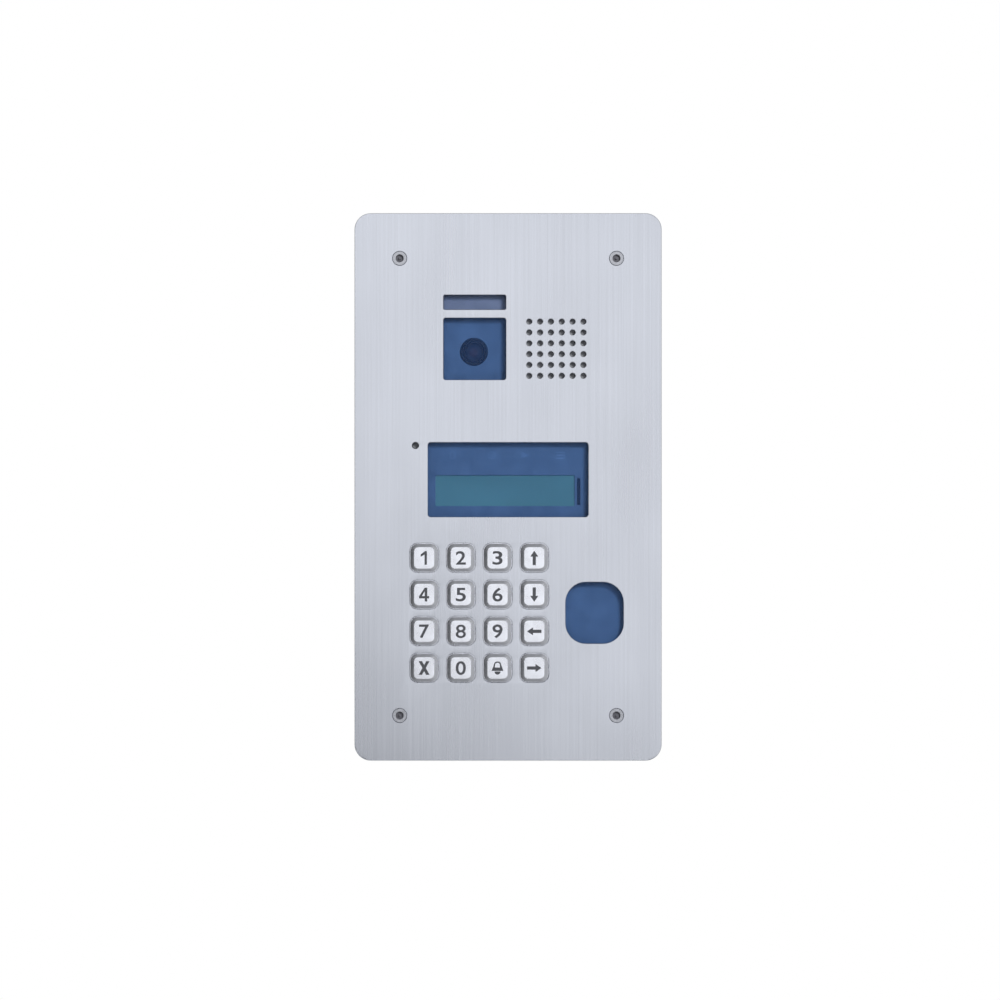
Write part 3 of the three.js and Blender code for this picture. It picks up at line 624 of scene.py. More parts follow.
TIN = plain_metal("tin", "circuit_board", (0.66, 0.66, 0.64), 0.32)
GOLD = plain_metal("gold_flash", "circuit_board", (0.72, 0.52, 0.22), 0.3)
ALUMINIUM = plain_metal("plain_aluminium", "capsule_aluminium", (0.60, 0.60, 0.62), 0.35)
NUT_STEEL = plain_metal("nut_steel", "screw_steel", (0.55, 0.54, 0.50), 0.3)


# ------------------------------------------------------------------ front plate

PLATE = span("front_plate")
GASKET = span("panel_gasket")
GAP = 0.3
PLATE_THICKNESS = 3
PLATE_BACK = GASKET.front - GAP
PLATE_FRONT = PLATE_BACK - PLATE_THICKNESS
PLATE_CORNER = 9
GASKET_WIDTH = 6.5
LIPS = {"camera_window": 1.9, "illuminator_window": 1.9, "display_window": 2.3, "reader_window": 2}
CORNERS = {"camera_window": 1.2, "illuminator_window": 0.8, "display_window": 1.5, "reader_window": 11.3}
KEYS = [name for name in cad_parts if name.startswith("key_")]
KEY_FLANGE = 0.9
KEY_CORNER = 4.4
SCREWS = [f"panel_screw_{number}" for number in range(1, 5)]
GRILLE_COUNT, GRILLE_PITCH, GRILLE_HOLE = 6, 6, 1.5
MICROPHONE_HOLE = 1.8
HEXAGON_SOCKET, SOCKET_DEPTH, SOCKET_PIN = 1.9, 1.5, 0.6
STUD_RADIUS, STUD_FOOT = 1.4, 2.2
LONG_STUD, SHORT_STUD = 4.8, 3.3  # the depths that studs reach
RETAINER_STUDS, KEYPAD_STUDS = (15.5, 29.25), (30, 46.7)  # how far they are from the part's middle
READER_STUD = 24.8
EAR_WIDTH, EAR_HEIGHT, EARS_Z = 8, 30, -1  # the ears of the display's board, and their middle's height
EAR_STUDS = corners_about(0, EARS_Z, 50.5, 11)
STUD_HOLE = 1.7
THREAD_DEPTH = 0.18
NUT_RADIUS = 2.6
BOARD_THICKNESS = 1.6


def opening(window):
    """The opening in the front plate, which the pane behind it overlaps by its lip."""
    pane = span(window)
    lip = LIPS[window]
    return Rounded(pane.x, pane.z, pane.width - 2 * lip, pane.height - 2 * lip, CORNERS[window], steps=8)


def plate_holes():
    speaker, microphone = span("speaker_mesh"), span("microphone_boot")
    steps = [(place - (GRILLE_COUNT - 1) / 2) * GRILLE_PITCH for place in range(GRILLE_COUNT)]
    holes = [opening(window) for window in LIPS]
    holes += [outline_of(span(name), KEY_CORNER + KEY_FLANGE).grown(-KEY_FLANGE) for name in KEYS]
    holes += [Circle(speaker.x + dx, speaker.z + dz, GRILLE_HOLE, 24) for dz in steps for dx in steps]
    return [*holes, Circle(microphone.x, microphone.z, MICROPHONE_HOLE, 24)]


def make_front_plate():
    outer = Rounded(0, 0, PLATE.width, PLATE.height, PLATE_CORNER, steps=12)
    head = span(SCREWS[0]).width / 2 + GAP
    clearance = head / 2 + 0.2
    sunk = [(Circle(span(name).x, span(name).z, clearance), head - clearance) for name in SCREWS]
    sheet = Solid().flat(outer, PLATE_FRONT, PLATE_BACK, plate_holes(), 0.35, 0.15, sunk)
    show("front_plate_sheet", sheet, STEEL, replaces=["front_plate"])


def stud_places():
    """Where the welded studs stand and how deep they reach, as (x, z, end)."""
    retainer, keypad, reader = span("window_retainer"), span("keypad_board"), span("reader_window")
    groups = [
        (corners_about(retainer.x, retainer.z, *RETAINER_STUDS), LONG_STUD),
        (corners_about(keypad.x, keypad.z, *KEYPAD_STUDS), SHORT_STUD),
        (EAR_STUDS, span("display_board").back + 2),
        ([(reader.x, reader.z + dz) for dz in (-READER_STUD, READER_STUD)], LONG_STUD),
    ]
    return [(x, z, end) for places, end in groups for x, z in places]


def thread(radius, start, end, pitch=0.6):
    """Profile of a threaded rod from one depth to another, with a chamfered tip."""
    profile = []
    for turn in range(int((end - start) / pitch)):
        profile.append((radius, start + (turn + 0.15) * pitch))
        profile.append((radius - THREAD_DEPTH, start + (turn + 0.65) * pitch))
    return [*profile, (radius, end - 0.4), (radius - 0.4, end)]


def make_studs():
    studs, nuts = Solid(), Solid()
    for x, z, end in stud_places():
        foot = [(0, PLATE_BACK - 0.5), (STUD_FOOT, PLATE_BACK - 0.5), (STUD_FOOT, PLATE_BACK + 0.1)]
        rod = [(STUD_RADIUS, PLATE_BACK + 0.2), *thread(STUD_RADIUS, PLATE_BACK + 0.3, end), (0, end)]
        studs.turn([*foot, *rod], x, z, 16)
        front, back, bore, rim = end - 1.9, end - 0.4, STUD_RADIUS + 0.05, NUT_RADIUS - 0.2
        nuts.stack(axial([
            (Circle, bore, front), (Circle, rim, front), (Hexagon, NUT_RADIUS, front + 0.25),
            (Hexagon, NUT_RADIUS, back - 0.2), (Circle, rim, back), (Circle, bore, back),
        ], x, z), closed=True)
    show("plate_studs", studs, NUT_STEEL)
    show("stud_nuts", nuts, NUT_STEEL)


def make_gasket():
    outer = Rounded(0, 0, GASKET.width, GASKET.height, PLATE_CORNER - 2, steps=8)
    inner = Rounded(0, 0, GASKET.width - 2 * GASKET_WIDTH, GASKET.height - 2 * GASKET_WIDTH, 1)
    ring = Solid().slab(outer, GASKET.front, GASKET.back, 0.4, [inner])
    show("panel_gasket_foam", ring, BLACK_RUBBER, replaces=["panel_gasket"])


def screw_solid(screw):
    """A countersunk screw with a hexagon socket, and the pin in it that keeps ordinary keys out."""
    radius, shank, top = screw.width / 2, screw.width / 4, screw.front
    bottom, cone_end = top + SOCKET_DEPTH, top + radius - shank
    rows = [
        (Circle, 0, top + 0.25), (Circle, SOCKET_PIN - 0.15, top + 0.25), (Circle, SOCKET_PIN, top + 0.4),
        (Circle, SOCKET_PIN, bottom), (Hexagon, HEXAGON_SOCKET, bottom), (Hexagon, HEXAGON_SOCKET, top + 0.3),
        (Circle, HEXAGON_SOCKET + 0.35, top), (Circle, radius - 0.15, top), (Circle, radius, top + 0.12),
        (Circle, shank, cone_end),
    ]
    rows += [(Circle, reach, depth) for reach, depth in thread(shank, cone_end, screw.back, 0.7)]
    return Solid().stack(axial([*rows, (Circle, 0, screw.back)]))


def make_screws():
    """The four screws, with painted shade in their sockets."""
    for name in SCREWS:
        screw = span(name)
        mesh = screw_solid(screw).mesh(name + "_steel")
        mesh.materials.append(SCREW_STEEL.material)
        mesh.materials.append(SOCKET_SHADE.material)
        # Faces inside the hexagon socket get the second finish, which is painted shade.
        for face in mesh.polygons:
            in_socket = math.hypot(face.center.x, face.center.z) / MM < HEXAGON_SOCKET + 0.25
            face.material_index = int(in_socket and face.center.y / MM < screw.front + SOCKET_DEPTH + 0.1)
        show(name + "_steel", mesh, SCREW_STEEL, replaces=[name], at=(screw.x, 0, screw.z))


def make_panes():
    for window, lip in LIPS.items():
        pane = span(window)
        solid = Solid().slab(opening(window).grown(lip), pane.front, pane.back, 0.25)
        finish = LAMP_GLAZING if window == "illuminator_window" else GLAZING
        show(window + "_pane", solid, finish, replaces=[window])


make_front_plate()
make_studs()
make_gasket()
make_screws()
make_panes()


# ------------------------------------------------------------------ keys

FACE = Rounded(0, 0, 10.9, 11.6, 2.5)
SKIRT_CLEARANCE = 0.4
STEM_RADIUS = 3
STRAIGHT = 0.95  # how much of the shoulder is a straight slope, the rest a curve
GLYPH_WIDTH, GLYPH_HEIGHT = 5.6, 7.6
GLYPH_REACH = 4.4  # no glyph goes further than this from the middle of its key
GLYPH_DEPTH = 0.28
CAPITAL_SHARE = 0.73  # how much of the font's size a capital letter takes


def blended(first, second, share):
    """The outline part of the way from one to the other."""
    def between(low, high):
        return low + (high - low) * share
    return Rounded(first.x, first.z, between(first.width, second.width), between(first.height, second.height),
                   between(first.corner, second.corner))


def key_solid(cap):
    """A flat face, shoulders that round over to a skirt, the retaining flange and the stem."""
    flange = Rounded(0, 0, cap.width, cap.height, KEY_CORNER + KEY_FLANGE)
    skirt = flange.grown(-KEY_FLANGE - SKIRT_CLEARANCE)
    stem = Rounded(0, 0, 2 * STEM_RADIUS, 2 * STEM_RADIUS, STEM_RADIUS - 0.01)
    shoulder = PLATE_FRONT - 0.1 - cap.front
    flange_front = PLATE_BACK + GAP
    levels = []
    steps = 9
    for step in range(steps + 1):
        share = step / steps
        turn = share * math.pi / 2
        outward = STRAIGHT * share + (1 - STRAIGHT) * math.sin(turn)
        inward = STRAIGHT * share + (1 - STRAIGHT) * (1 - math.cos(turn))
        levels.append((blended(FACE, skirt, outward), cap.front + shoulder * inward))
    levels += [(skirt, flange_front), (flange, flange_front), (flange, flange_front + 1)]
    levels += [(stem, flange_front + 1), (stem, cap.back)]
    return Solid().stack(levels)


def letter(text):
    """A digit or letter from the built-in font, emboldened, as a closed mesh facing the front."""
    curve = bpy.data.curves.new("glyph", "FONT")
    curve.body = text
    curve.size = GLYPH_HEIGHT / CAPITAL_SHARE * MM
    curve.offset = (0.1 if text == "8" else 0.16) * MM  # a bolder 8 would close up
    curve.extrude = GLYPH_DEPTH * MM
    curve.resolution_u = 6
    writing = bpy.data.objects.new("glyph", curve)
    bpy.context.scene.collection.objects.link(writing)
    mesh = applied(writing, "glyph")
    mesh.transform(Matrix.Rotation(math.radians(90), 4, "X"))
    xs = [vertex.co.x for vertex in mesh.vertices]
    zs = [vertex.co.z for vertex in mesh.vertices]
    mesh.transform(Matrix.Translation((-(min(xs) + max(xs)) / 2, 0, -(min(zs) + max(zs)) / 2)))
    mesh.transform(Matrix.Diagonal((GLYPH_WIDTH * MM / (max(xs) - min(xs)), 1, 1, 1)))
    joined = bmesh.new()
    joined.from_mesh(mesh)
    bmesh.ops.remove_doubles(joined, verts=joined.verts, dist=0.001 * MM)
    bmesh.ops.recalc_face_normals(joined, faces=joined.faces)
    joined.to_mesh(mesh)
    joined.free()
    return mesh


def stroke(corners, holes=(), depth=GLYPH_DEPTH, solid=None):
    """A straight-sided part of a glyph, added to a solid or alone."""
    return (solid or Solid()).flat(Polygon(corners), -depth, depth, holes)


def one():
    """An upright bar with a flag."""
    left, right, low, high = 0.25, 1.55, -GLYPH_HEIGHT / 2, GLYPH_HEIGHT / 2
    corners = [(left, low), (right, low), (right, high), (left + 0.3, high), (-1.9, high - 1.9),
               (-1.9, high - 3.2), (left, high - 2)]
    return stroke(corners)


def four():
    """Three bars round an open triangle."""
    high, bar_top, bar_bottom = GLYPH_HEIGHT / 2, -0.8, -2.1
    stem_left, stem_right, reach = 0.35, 1.75, GLYPH_WIDTH / 2
    corners = [(stem_left, -high), (stem_right, -high), (stem_right, bar_bottom), (reach, bar_bottom),
               (reach, bar_top), (stem_right, bar_top), (stem_right, high), (stem_left, high),
               (-reach, bar_top - 0.1), (-reach, bar_bottom), (stem_left, bar_bottom)]
    triangle = Polygon([(stem_left, bar_top), (stem_left, 1.9), (stem_left - 1.6, bar_top)])
    return stroke(corners, [triangle])


def cross():
    """Two bars over each other."""
    half, reach, low = 0.95, 2.1, -GLYPH_HEIGHT / 2
    solid = Solid()
    for lean, deep in ((-1, GLYPH_DEPTH), (1, GLYPH_DEPTH - 0.01)):
        corners = [(-lean * reach - half, low), (-lean * reach + half, low), (lean * reach + half, -low),
                   (lean * reach - half, -low)]
        stroke(corners, depth=deep, solid=solid)
    return solid


def arrow(quarter_turns):
    """A shaft with a filled head, pointing right and then turned."""
    reach, shaft, head, back = 4, 0.9, 2.2, 3.3
    corners = [(-reach, -shaft), (reach - back, -shaft), (reach - back, -head), (reach, 0),
               (reach - back, head), (reach - back, shaft), (-reach, shaft)]
    return stroke(corners, solid=Solid(Matrix.Rotation(-math.pi / 2 * quarter_turns, 4, "Y")))


def dome(half_width, top, foot, flare):
    """Outline of a bell: a half circle, widened at its foot."""
    turns = [math.pi * step / 12 for step in range(13)]
    arc = [(half_width * math.cos(turn), top - half_width + half_width * math.sin(turn)) for turn in turns]
    return [(half_width + flare, foot), *arc, (-half_width - flare, foot)]


def bell():
    """A bell in outline, and the clapper under it."""
    solid = stroke(dome(2.1, 3.7, -1.6, 1.2), [Polygon(dome(1.35, 2.95, 0.3, 0.1))])
    turns = [-math.pi * step / 8 for step in range(9)]
    clapper = [(1.7 * math.cos(turn), -1.9 + 1.8 * math.sin(turn)) for turn in turns]
    return stroke(clapper, solid=solid)


def glyph(name):
    """The mesh that a key's glyph is cut with."""
    word = name.removeprefix("key_")
    quarter_turns = {"right": 0, "up": 1, "left": 2, "down": 3}
    drawn = {"1": one, "4": four, "cancel": cross, "bell": bell}
    if word in quarter_turns:
        return arrow(quarter_turns[word]).mesh("glyph")
    return drawn[word]().mesh("glyph") if word in drawn else letter(word)


def engraved(mesh, tool, face_depth):
    """Cuts the glyph into the key's face and fills its bottom with enamel."""
    tool.transform(Matrix.Translation((0, face_depth * MM, 0)))
    made = cut(mesh, tool)
    made.materials.clear()
    made.materials.append(KEY_METAL.material)
    made.materials.append(ENAMEL.material)
    for face in made.polygons:
        inside = max(abs(face.center.x), abs(face.center.z)) < GLYPH_REACH * MM
        depth = face.center.y / MM - face_depth
        face.material_index = int(inside and 0.01 < depth < GLYPH_DEPTH + 0.01)
    return made


def make_keys():
    for name in KEYS:
        cap = span(name)
        mesh = engraved(key_solid(cap).mesh(name + "_cap"), glyph(name), cap.front)
        show(name + "_cap", mesh, KEY_METAL, name, replaces=[name], at=(cap.x, 0, cap.z))


make_keys()


# ------------------------------------------------------------------ keypad carrier

def make_keypad_parts():
    mat, board = span("keypad_mat"), span("keypad_board")
    keep(BLACK_PLASTIC, "keypad_housing")
    places = [(span(name).x, span(name).z) for name in KEYS]
    holes = [Circle(x, z, STEM_RADIUS + 0.5, 24) for x, z in places]
    sheet = Solid().slab(outline_of(mat, 2.5), mat.front, mat.back, 0.15, holes)
    laminate = Solid().slab(outline_of(board, 2.5), board.front, board.back, 0.1)
    contacts, diodes = Solid(), Solid()
    foot, top, behind = mat.front + 0.2, mat.front - 0.8, board.back - 0.05
    for x, z in places:
        sheet.turn([(3.7, foot), (4.1, top + 0.05), (5.2, top), (6.2, foot)], x, z, 32)
        contacts.turn(disc(3, board.front - 0.05, board.front + 0.1), x, z, 24)
        diodes.box(x + 5, z + 7.5, 1.6, 0.9, behind, board.back + 0.7, 0.1)
    diodes.box(board.x, board.top - 6, 26, 6, behind, board.back + 2.4, 0.2)
    show("keypad_mat_silicone", sheet, GREY_RUBBER, replaces=["keypad_mat"])
    show("keypad_board_laminate", laminate, LAMINATE, replaces=["keypad_board"])
    show("keypad_contacts", contacts, GOLD)
    show("keypad_diodes", diodes, CHIP)


make_keypad_parts()


# ------------------------------------------------------------------ camera and lamp

BARREL_WALL, LENS_SAG = 1.4, 1.2
MODULE_SCREWS = 8.6  # how far the camera module's screws are from its axis, both ways
MASK_HOLE = 7.8
LAMP_COUNT, LAMP_PITCH, LAMP_WIDTH, LAMP_HEIGHT = 6, 5.4, 2.8, 3.5


def make_lens():
    """A barrel with a grooved rim, and the domed front lens in it."""
    barrel, lens = span("camera_lens_barrel"), span("camera_lens_glass")
    outer, front = barrel.width / 2, barrel.front
    bore, groove = outer - BARREL_WALL, outer - 0.3
    tube = Solid().turn([
        (bore, front + 0.4), (bore + 0.5, front), (groove, front), (outer, front + 0.3), (outer, front + 2.6),
        (groove, front + 2.8), (groove, front + 3.4), (outer, front + 3.6), (outer, barrel.back),
        (bore, barrel.back),
    ], sides=64)
    radius = lens.width / 2
    cap = [(radius * step / 10, lens.front + LENS_SAG * (step / 10) ** 2) for step in range(11)]
    glass = Solid().turn([*cap, (radius, lens.back), (0, lens.back)], sides=64)
    show("camera_lens_tube", tube, ANODISED, "camera_tilt",
         replaces=["camera_lens_barrel"], at=(barrel.x, 0, barrel.z))
    show("camera_front_lens", glass, LENS_GLASS, "camera_tilt",
         replaces=["camera_lens_glass"], at=(lens.x, 0, lens.z))


def make_camera():
    barrel = span("camera_lens_barrel")
    keep(GREY_PLASTIC, "camera_module", "camera_pan_frame", bevel=0.4)
    keep(ZINC, "camera_bracket", bevel=0.35)
    keep(GREY_PLASTIC, "window_retainer", bevel=0.3)
    screws = Solid(Matrix.Translation((0, barrel.back - 0.3, 0)))
    for x, z in corners_about(0, 0, MODULE_SCREWS, MODULE_SCREWS):
        head = [(0, -0.1), (0.5, -0.1), (0.5, -0.5), (1.3, -0.5), (1.5, -0.3), (1.5, 0.1), (0, 0.1)]
        screws.turn(head, x, z, 20)
    show("camera_module_screws", screws, CHIP, "camera_tilt", at=(barrel.x, 0, barrel.z))
    outline, hole = opening("camera_window").grown(-0.1), Circle(barrel.x, barrel.z, MASK_HOLE, 48)
    front = span("window_retainer").front + 0.2
    show("camera_mask", Solid().flat(outline, front, front + 1.6, [hole], edge=0.2), GREY_PLASTIC)


def make_lamp():
    board, window = span("illuminator_board"), span("illuminator_window")
    front = board.back - BOARD_THICKNESS
    sheet = Solid().slab(outline_of(board, 0.6), front, board.back, 0.1)
    show("lamp_board", sheet, WHITE_LAMINATE, replaces=["illuminator_board"])
    lamps = Solid()
    for lamp in range(LAMP_COUNT):
        x = board.x + (lamp - (LAMP_COUNT - 1) / 2) * LAMP_PITCH
        lamps.box(x, window.z, LAMP_WIDTH, LAMP_HEIGHT, front - 0.7, front + 0.05, 0.15)
        bulge = [(0, front - 1.4), (0.7, front - 1.25), (1.15, front - 0.7), (1.15, front - 0.65)]
        lamps.turn([*bulge, (0, front - 0.65)], x, window.z, 20)
    show("lamp_emitters", lamps, PALE_PLASTIC)
    outline = opening("illuminator_window").grown(-0.1)
    front = span("window_retainer").front + 0.2
    show("lamp_diffuser", Solid().flat(outline, front, front + 0.6, edge=0.1), PALE_PLASTIC)


make_lens()
make_camera()
make_lamp()


# ------------------------------------------------------------------ display and reader

VIEW_WIDTH, VIEW_HEIGHT = 77.3, 17.1
# the slot beside the view opening, and the black bar of painted shade that sits in it
BAR_WIDTH, BAR_HEIGHT = 1.9, 15
BEZEL_WALL = 1.5
SHEET_X, RING_X, TRIANGLE_X, BARS_X = -30.7, -8.9, 9.7, 29.2
MARKS_Z = 17.6
READER_CASE_HEIGHT = 40.6


def make_display_mask():
    """The grey surround with its view opening and the slot beside it, and the rim that holds the cell."""
    bezel = span("display_bezel")
    view = Rounded(bezel.x, bezel.z, VIEW_WIDTH, VIEW_HEIGHT, 0.5)
    slot = Rounded(view.x + view.width / 2 + 2.2, view.z - 0.5, BAR_WIDTH, BAR_HEIGHT, 0.4)
    around = opening("display_window").grown(1.2)
    mask = Solid().flat(around, bezel.front, bezel.front + 0.9, [view, slot], edge=0.15)
    inside = Rounded(bezel.x, bezel.z, bezel.width - 2 * BEZEL_WALL, bezel.height - 2 * BEZEL_WALL, 0.5)
    mask.flat(outline_of(bezel, 1), bezel.front + 0.85, bezel.back, [inside])
    show("display_mask", mask, GREY_PLASTIC, replaces=["display_bezel"])
    # A black bar in the slot: painted shade for the dark strip along the display's right edge.
    shade_bar = Solid().flat(slot.grown(-0.05), bezel.front + 0.3, bezel.front + 0.8, edge=0.1)
    show("display_shade_bar", shade_bar, BLACK_PLASTIC)


def make_display_cell():
    """Two sheets of glass, the second a step smaller, and the film on the first."""
    cell = span("display_cell")
    x, z, width, height, front = cell.x, cell.z, cell.width, cell.height, cell.front
    glass = Solid().box(x, z, width, height, front, front + 1.1, 0.1)
    glass.box(x, z - 1, width - 1, height - 2.4, front + 1.12, cell.back, 0.1)
    show("display_glass", glass, CELL_GLASS, replaces=["display_cell"])
    film = Solid().box(x, z, width - 2, height - 2.4, front - 0.12, front + 0.05, 0.03)
    show("display_film", film, DISPLAY)


def make_display_marks():
    """A sheet, a ring with a dot, a triangle and three bars, printed over the display."""
    z, left, point = MARKS_Z, TRIANGLE_X - 2.4, TRIANGLE_X + 2.4
    outlines = [
        (Rounded(SHEET_X, z, 3.2, 4.4, 0.5), [Rounded(SHEET_X, z, 2, 3.2, 0.2)]),
        (Circle(RING_X, z, 2.2), [Circle(RING_X, z, 1.6)]),
        (Circle(RING_X, z, 0.7, 16), []),
        (Polygon([(left, z - 2), (point, z), (left, z + 2)]), []),
        *((Rounded(BARS_X, z + step * 1.6, 5, 0.7, 0.2), []) for step in (-1, 0, 1)),
    ]
    ground = span("display_bezel").front
    marks = Solid()
    for outline, holes in outlines:
        marks.flat(outline, ground - 0.04, ground + 0.05, holes)
    show("display_marks", marks, INK)


def make_display_board():
    """A tall board with an ear on either side, which the studs go through."""
    board = span("display_board")
    tall = Rounded(board.x, board.z, board.width - 2 * EAR_WIDTH, board.height, 1)
    ears = Rounded(board.x, EARS_Z, board.width, EAR_HEIGHT, 2)
    laminate = Solid().slab(tall, board.front, board.back, 0.1)
    holes = [Circle(x, z, STUD_HOLE, 20) for x, z in EAR_STUDS]
    laminate.flat(ears, board.front + 0.01, board.back - 0.01, holes)
    show("display_board_laminate", laminate, LAMINATE, replaces=["display_board"])


def make_reader():
    """A flat case, on a strap that two studs go through."""
    reader, window = span("reader_module"), span("reader_window")
    case = Rounded(reader.x, reader.z, reader.width, READER_CASE_HEIGHT, 2.5)
    strap = Rounded(reader.x, reader.z, 10, reader.height, 3)
    holes = [Circle(reader.x, window.z + dz, STUD_HOLE, 20) for dz in (-READER_STUD, READER_STUD)]
    cover = Solid().flat(case, reader.front, reader.back, edge=0.5, back_edge=0.8)
    cover.slab(strap, reader.front + 0.02, reader.front + 2, 0.3, holes)
    show("reader_case", cover, GREY_PLASTIC, replaces=["reader_module"])


make_display_mask()
make_display_cell()
make_display_marks()
make_display_board()
make_reader()


# ------------------------------------------------------------------ loudspeaker and microphone

def make_speaker():
    """The cloth, the seal and the dished basket."""
    mesh, seal, basket = span("speaker_mesh"), span("speaker_seal"), span("speaker_basket")
    cloth = disc(mesh.width / 2, mesh.front, mesh.back)
    show_round("speaker_cloth", cloth, MESH, mesh, replaces=["speaker_mesh"])
    outer, bore = seal.width / 2, 18.5
    show_round("speaker_ring", [
        (bore, seal.front + 0.3), (bore + 0.3, seal.front), (outer - 0.3, seal.front),
        (outer, seal.front + 0.3), (outer, seal.back), (bore, seal.back),
    ], GREY_RUBBER, mesh, replaces=["speaker_seal"])
    front, back = basket.front, basket.back
    wide, narrow, neck = 19.2, 13.6, 7
    show_round("speaker_frame", [
        (outer, front + 0.2), (outer, front + 1.2), (outer - 0.3, front + 1.4), (wide + 0.6, front + 1.4),
        (wide, front + 1.9), (narrow, back - 0.4), (narrow - 1, back), (neck, back), (neck, back - 1.2),
        (narrow - 1.4, back - 1.2), (wide - 0.6, front), (outer - 0.2, front),
    ], ZINC, mesh, replaces=["speaker_basket"])


def make_speaker_cone():
    """Paper with a dust cap in its middle and a half-round roll at its rim."""
    cone = span("speaker_cone")
    outer, front, roll_width, cap_radius = cone.width / 2, cone.front, 2.6, 6.4
    shares = [step / 8 for step in range(9)]
    roll = [(outer - roll_width * share, front + 0.7 - 0.7 * math.sin(math.pi * share)) for share in shares]
    cap = [(cap_radius * share, front + 3.3 + 1.4 * share ** 2) for share in shares]
    show_round("speaker_paper", [
        *cap, *reversed(roll), (outer, front + 1.1), (outer - roll_width, front + 1.2),
        (cap_radius, cone.back), (0, cone.back - 1.2),
    ], CONE, cone, replaces=["speaker_cone"])


def make_magnet():
    """A ferrite ring and the steel plate behind it."""
    magnet = span("speaker_magnet")
    outer, front, middle, back = magnet.width / 2, magnet.front, magnet.back - 1.6, magnet.back
    show_round("speaker_ferrite", [
        (0, front), (outer - 0.4, front), (outer, front + 0.4), (outer, middle - 0.4), (outer - 0.4, middle),
        (0, middle),
    ], FERRITE, magnet, replaces=["speaker_magnet"])
    rim, face = outer - 1.1, outer - 1.4
    show_round("speaker_back_plate", [
        (0, middle + 0.02), (face, middle + 0.02), (rim, middle + 0.3), (rim, back - 0.3), (face, back),
        (3, back), (2.4, back - 0.5), (0, back - 0.5),
    ], ZINC, magnet)


def make_microphone():
    """A rubber sleeve with felt in its mouth and the capsule behind."""
    boot, capsule = span("microphone_boot"), span("microphone_capsule")
    outer, radius = boot.width / 2, capsule.width / 2
    bore, mouth, seat = radius + GAP, MICROPHONE_HOLE, capsule.front - GAP
    front, back = boot.front, boot.back
    show_round("microphone_sleeve", [
        (mouth, front), (outer - 0.3, front), (outer, front + 0.3), (outer, back - 1.6),
        (outer + 0.4, back - 1.2), (outer + 0.4, back - 0.3), (outer, back), (bore, back), (bore, seat),
        (mouth, seat),
    ], BLACK_RUBBER, boot, 40, replaces=["microphone_boot"])
    show_round("microphone_felt", [
        (0, front + 0.4), (1.5, front + 0.4), (mouth - 0.05, front + 0.6), (mouth - 0.05, seat), (0, seat),
    ], FELT, boot, 40)
    front, back = capsule.front, capsule.back
    show_round("microphone_can", [
        (0, front + 0.2), (1, front + 0.2), (1, front), (radius - 0.3, front), (radius, front + 0.3),
        (radius, back - 0.3), (radius - 0.3, back), (radius - 0.6, back), (radius - 0.8, back - 0.4),
        (0, back - 0.4),
    ], ALUMINIUM, capsule, 40, replaces=["microphone_capsule"])


make_speaker()
make_speaker_cone()
make_magnet()
make_microphone()


# ------------------------------------------------------------------ main board

PILLAR_INSET_X, PILLAR_INSET_Z = 4, 4.5
PILLAR_RISE = 0.8  # how far the pillars' ends stand behind the board
SMALL_PARTS = 60
FIELD_X, FIELD_BOTTOM, FIELD_TOP = 62, -88, 14  # where the small parts may be
LEAD_WIDTH = 0.35
LEAD_BENDS = [(0.3, 0.7, 0.8, 1), (1, 1, 0, 0.2), (0.6, 0.2, 0.1, 0.95)]  # out, length, low and high


def make_main_board():
    """The board on its four pillars; returns the depth of its back, which the parts stand on."""
    board = span("main_board")
    back = board.back - PILLAR_RISE
    front = back - BOARD_THICKNESS
    sheet = Solid().slab(outline_of(board, 2), front, back, 0.1)
    show("main_board_laminate", sheet, LAMINATE, replaces=["main_board"])
    pillars = Solid()
    reach_x, reach_z = board.width / 2 - PILLAR_INSET_X, board.height / 2 - PILLAR_INSET_Z
    for x, z in corners_about(board.x, board.z, reach_x, reach_z):
        pillars.stack(axial([
            (Circle, 0, board.front), (Circle, 2.1, board.front), (Hexagon, 2.3, board.front + 0.3),
            (Hexagon, 2.3, front - 0.01), (Circle, 1.5, front - 0.01), (Circle, 1.5, back),
            (Circle, 2.1, back), (Circle, 1.9, board.back), (Circle, 0, board.back),
        ], x, z))
    show("board_pillars", pillars, NUT_STEEL)
    return back


def make_chips(back):
    """Flat packages with bent leads, and the small parts round them."""
    chips, leads = Solid(), Solid()
    for x, z, width, height, pins in [(5, -35, 14, 14, 11), (-32, -20, 7.5, 18, 14), (26, -62, 5, 10, 8),
                                      (-30, -58, 5, 6.2, 4), (45, -30, 7.5, 12.8, 10), (-8, 10, 5, 10, 8)]:
        chips.box(x, z, width, height, back + 0.2, back + 1.9, 0.15)
        for pin in range(pins):
            along = z + (pin - (pins - 1) / 2) * (height - 1.4) / (pins - 1)
            for side in (-1, 1):
                reach = x + side * width / 2
                for out, length, low, high in LEAD_BENDS:
                    leads.box(reach + side * out, along, length, LEAD_WIDTH, back + low, back + high, 0.02)
    draw = random.Random(5)
    for _ in range(SMALL_PARTS):
        x, z = draw.uniform(-FIELD_X, FIELD_X), draw.uniform(FIELD_BOTTOM, FIELD_TOP)
        tall = draw.random() < 0.5
        width, height = (0.9, 1.8) if tall else (1.8, 0.9)
        chips.box(x, z, width, height, back, back + 0.55, 0.05)
    show("board_chips", chips, CHIP)
    show("board_leads", leads, TIN)


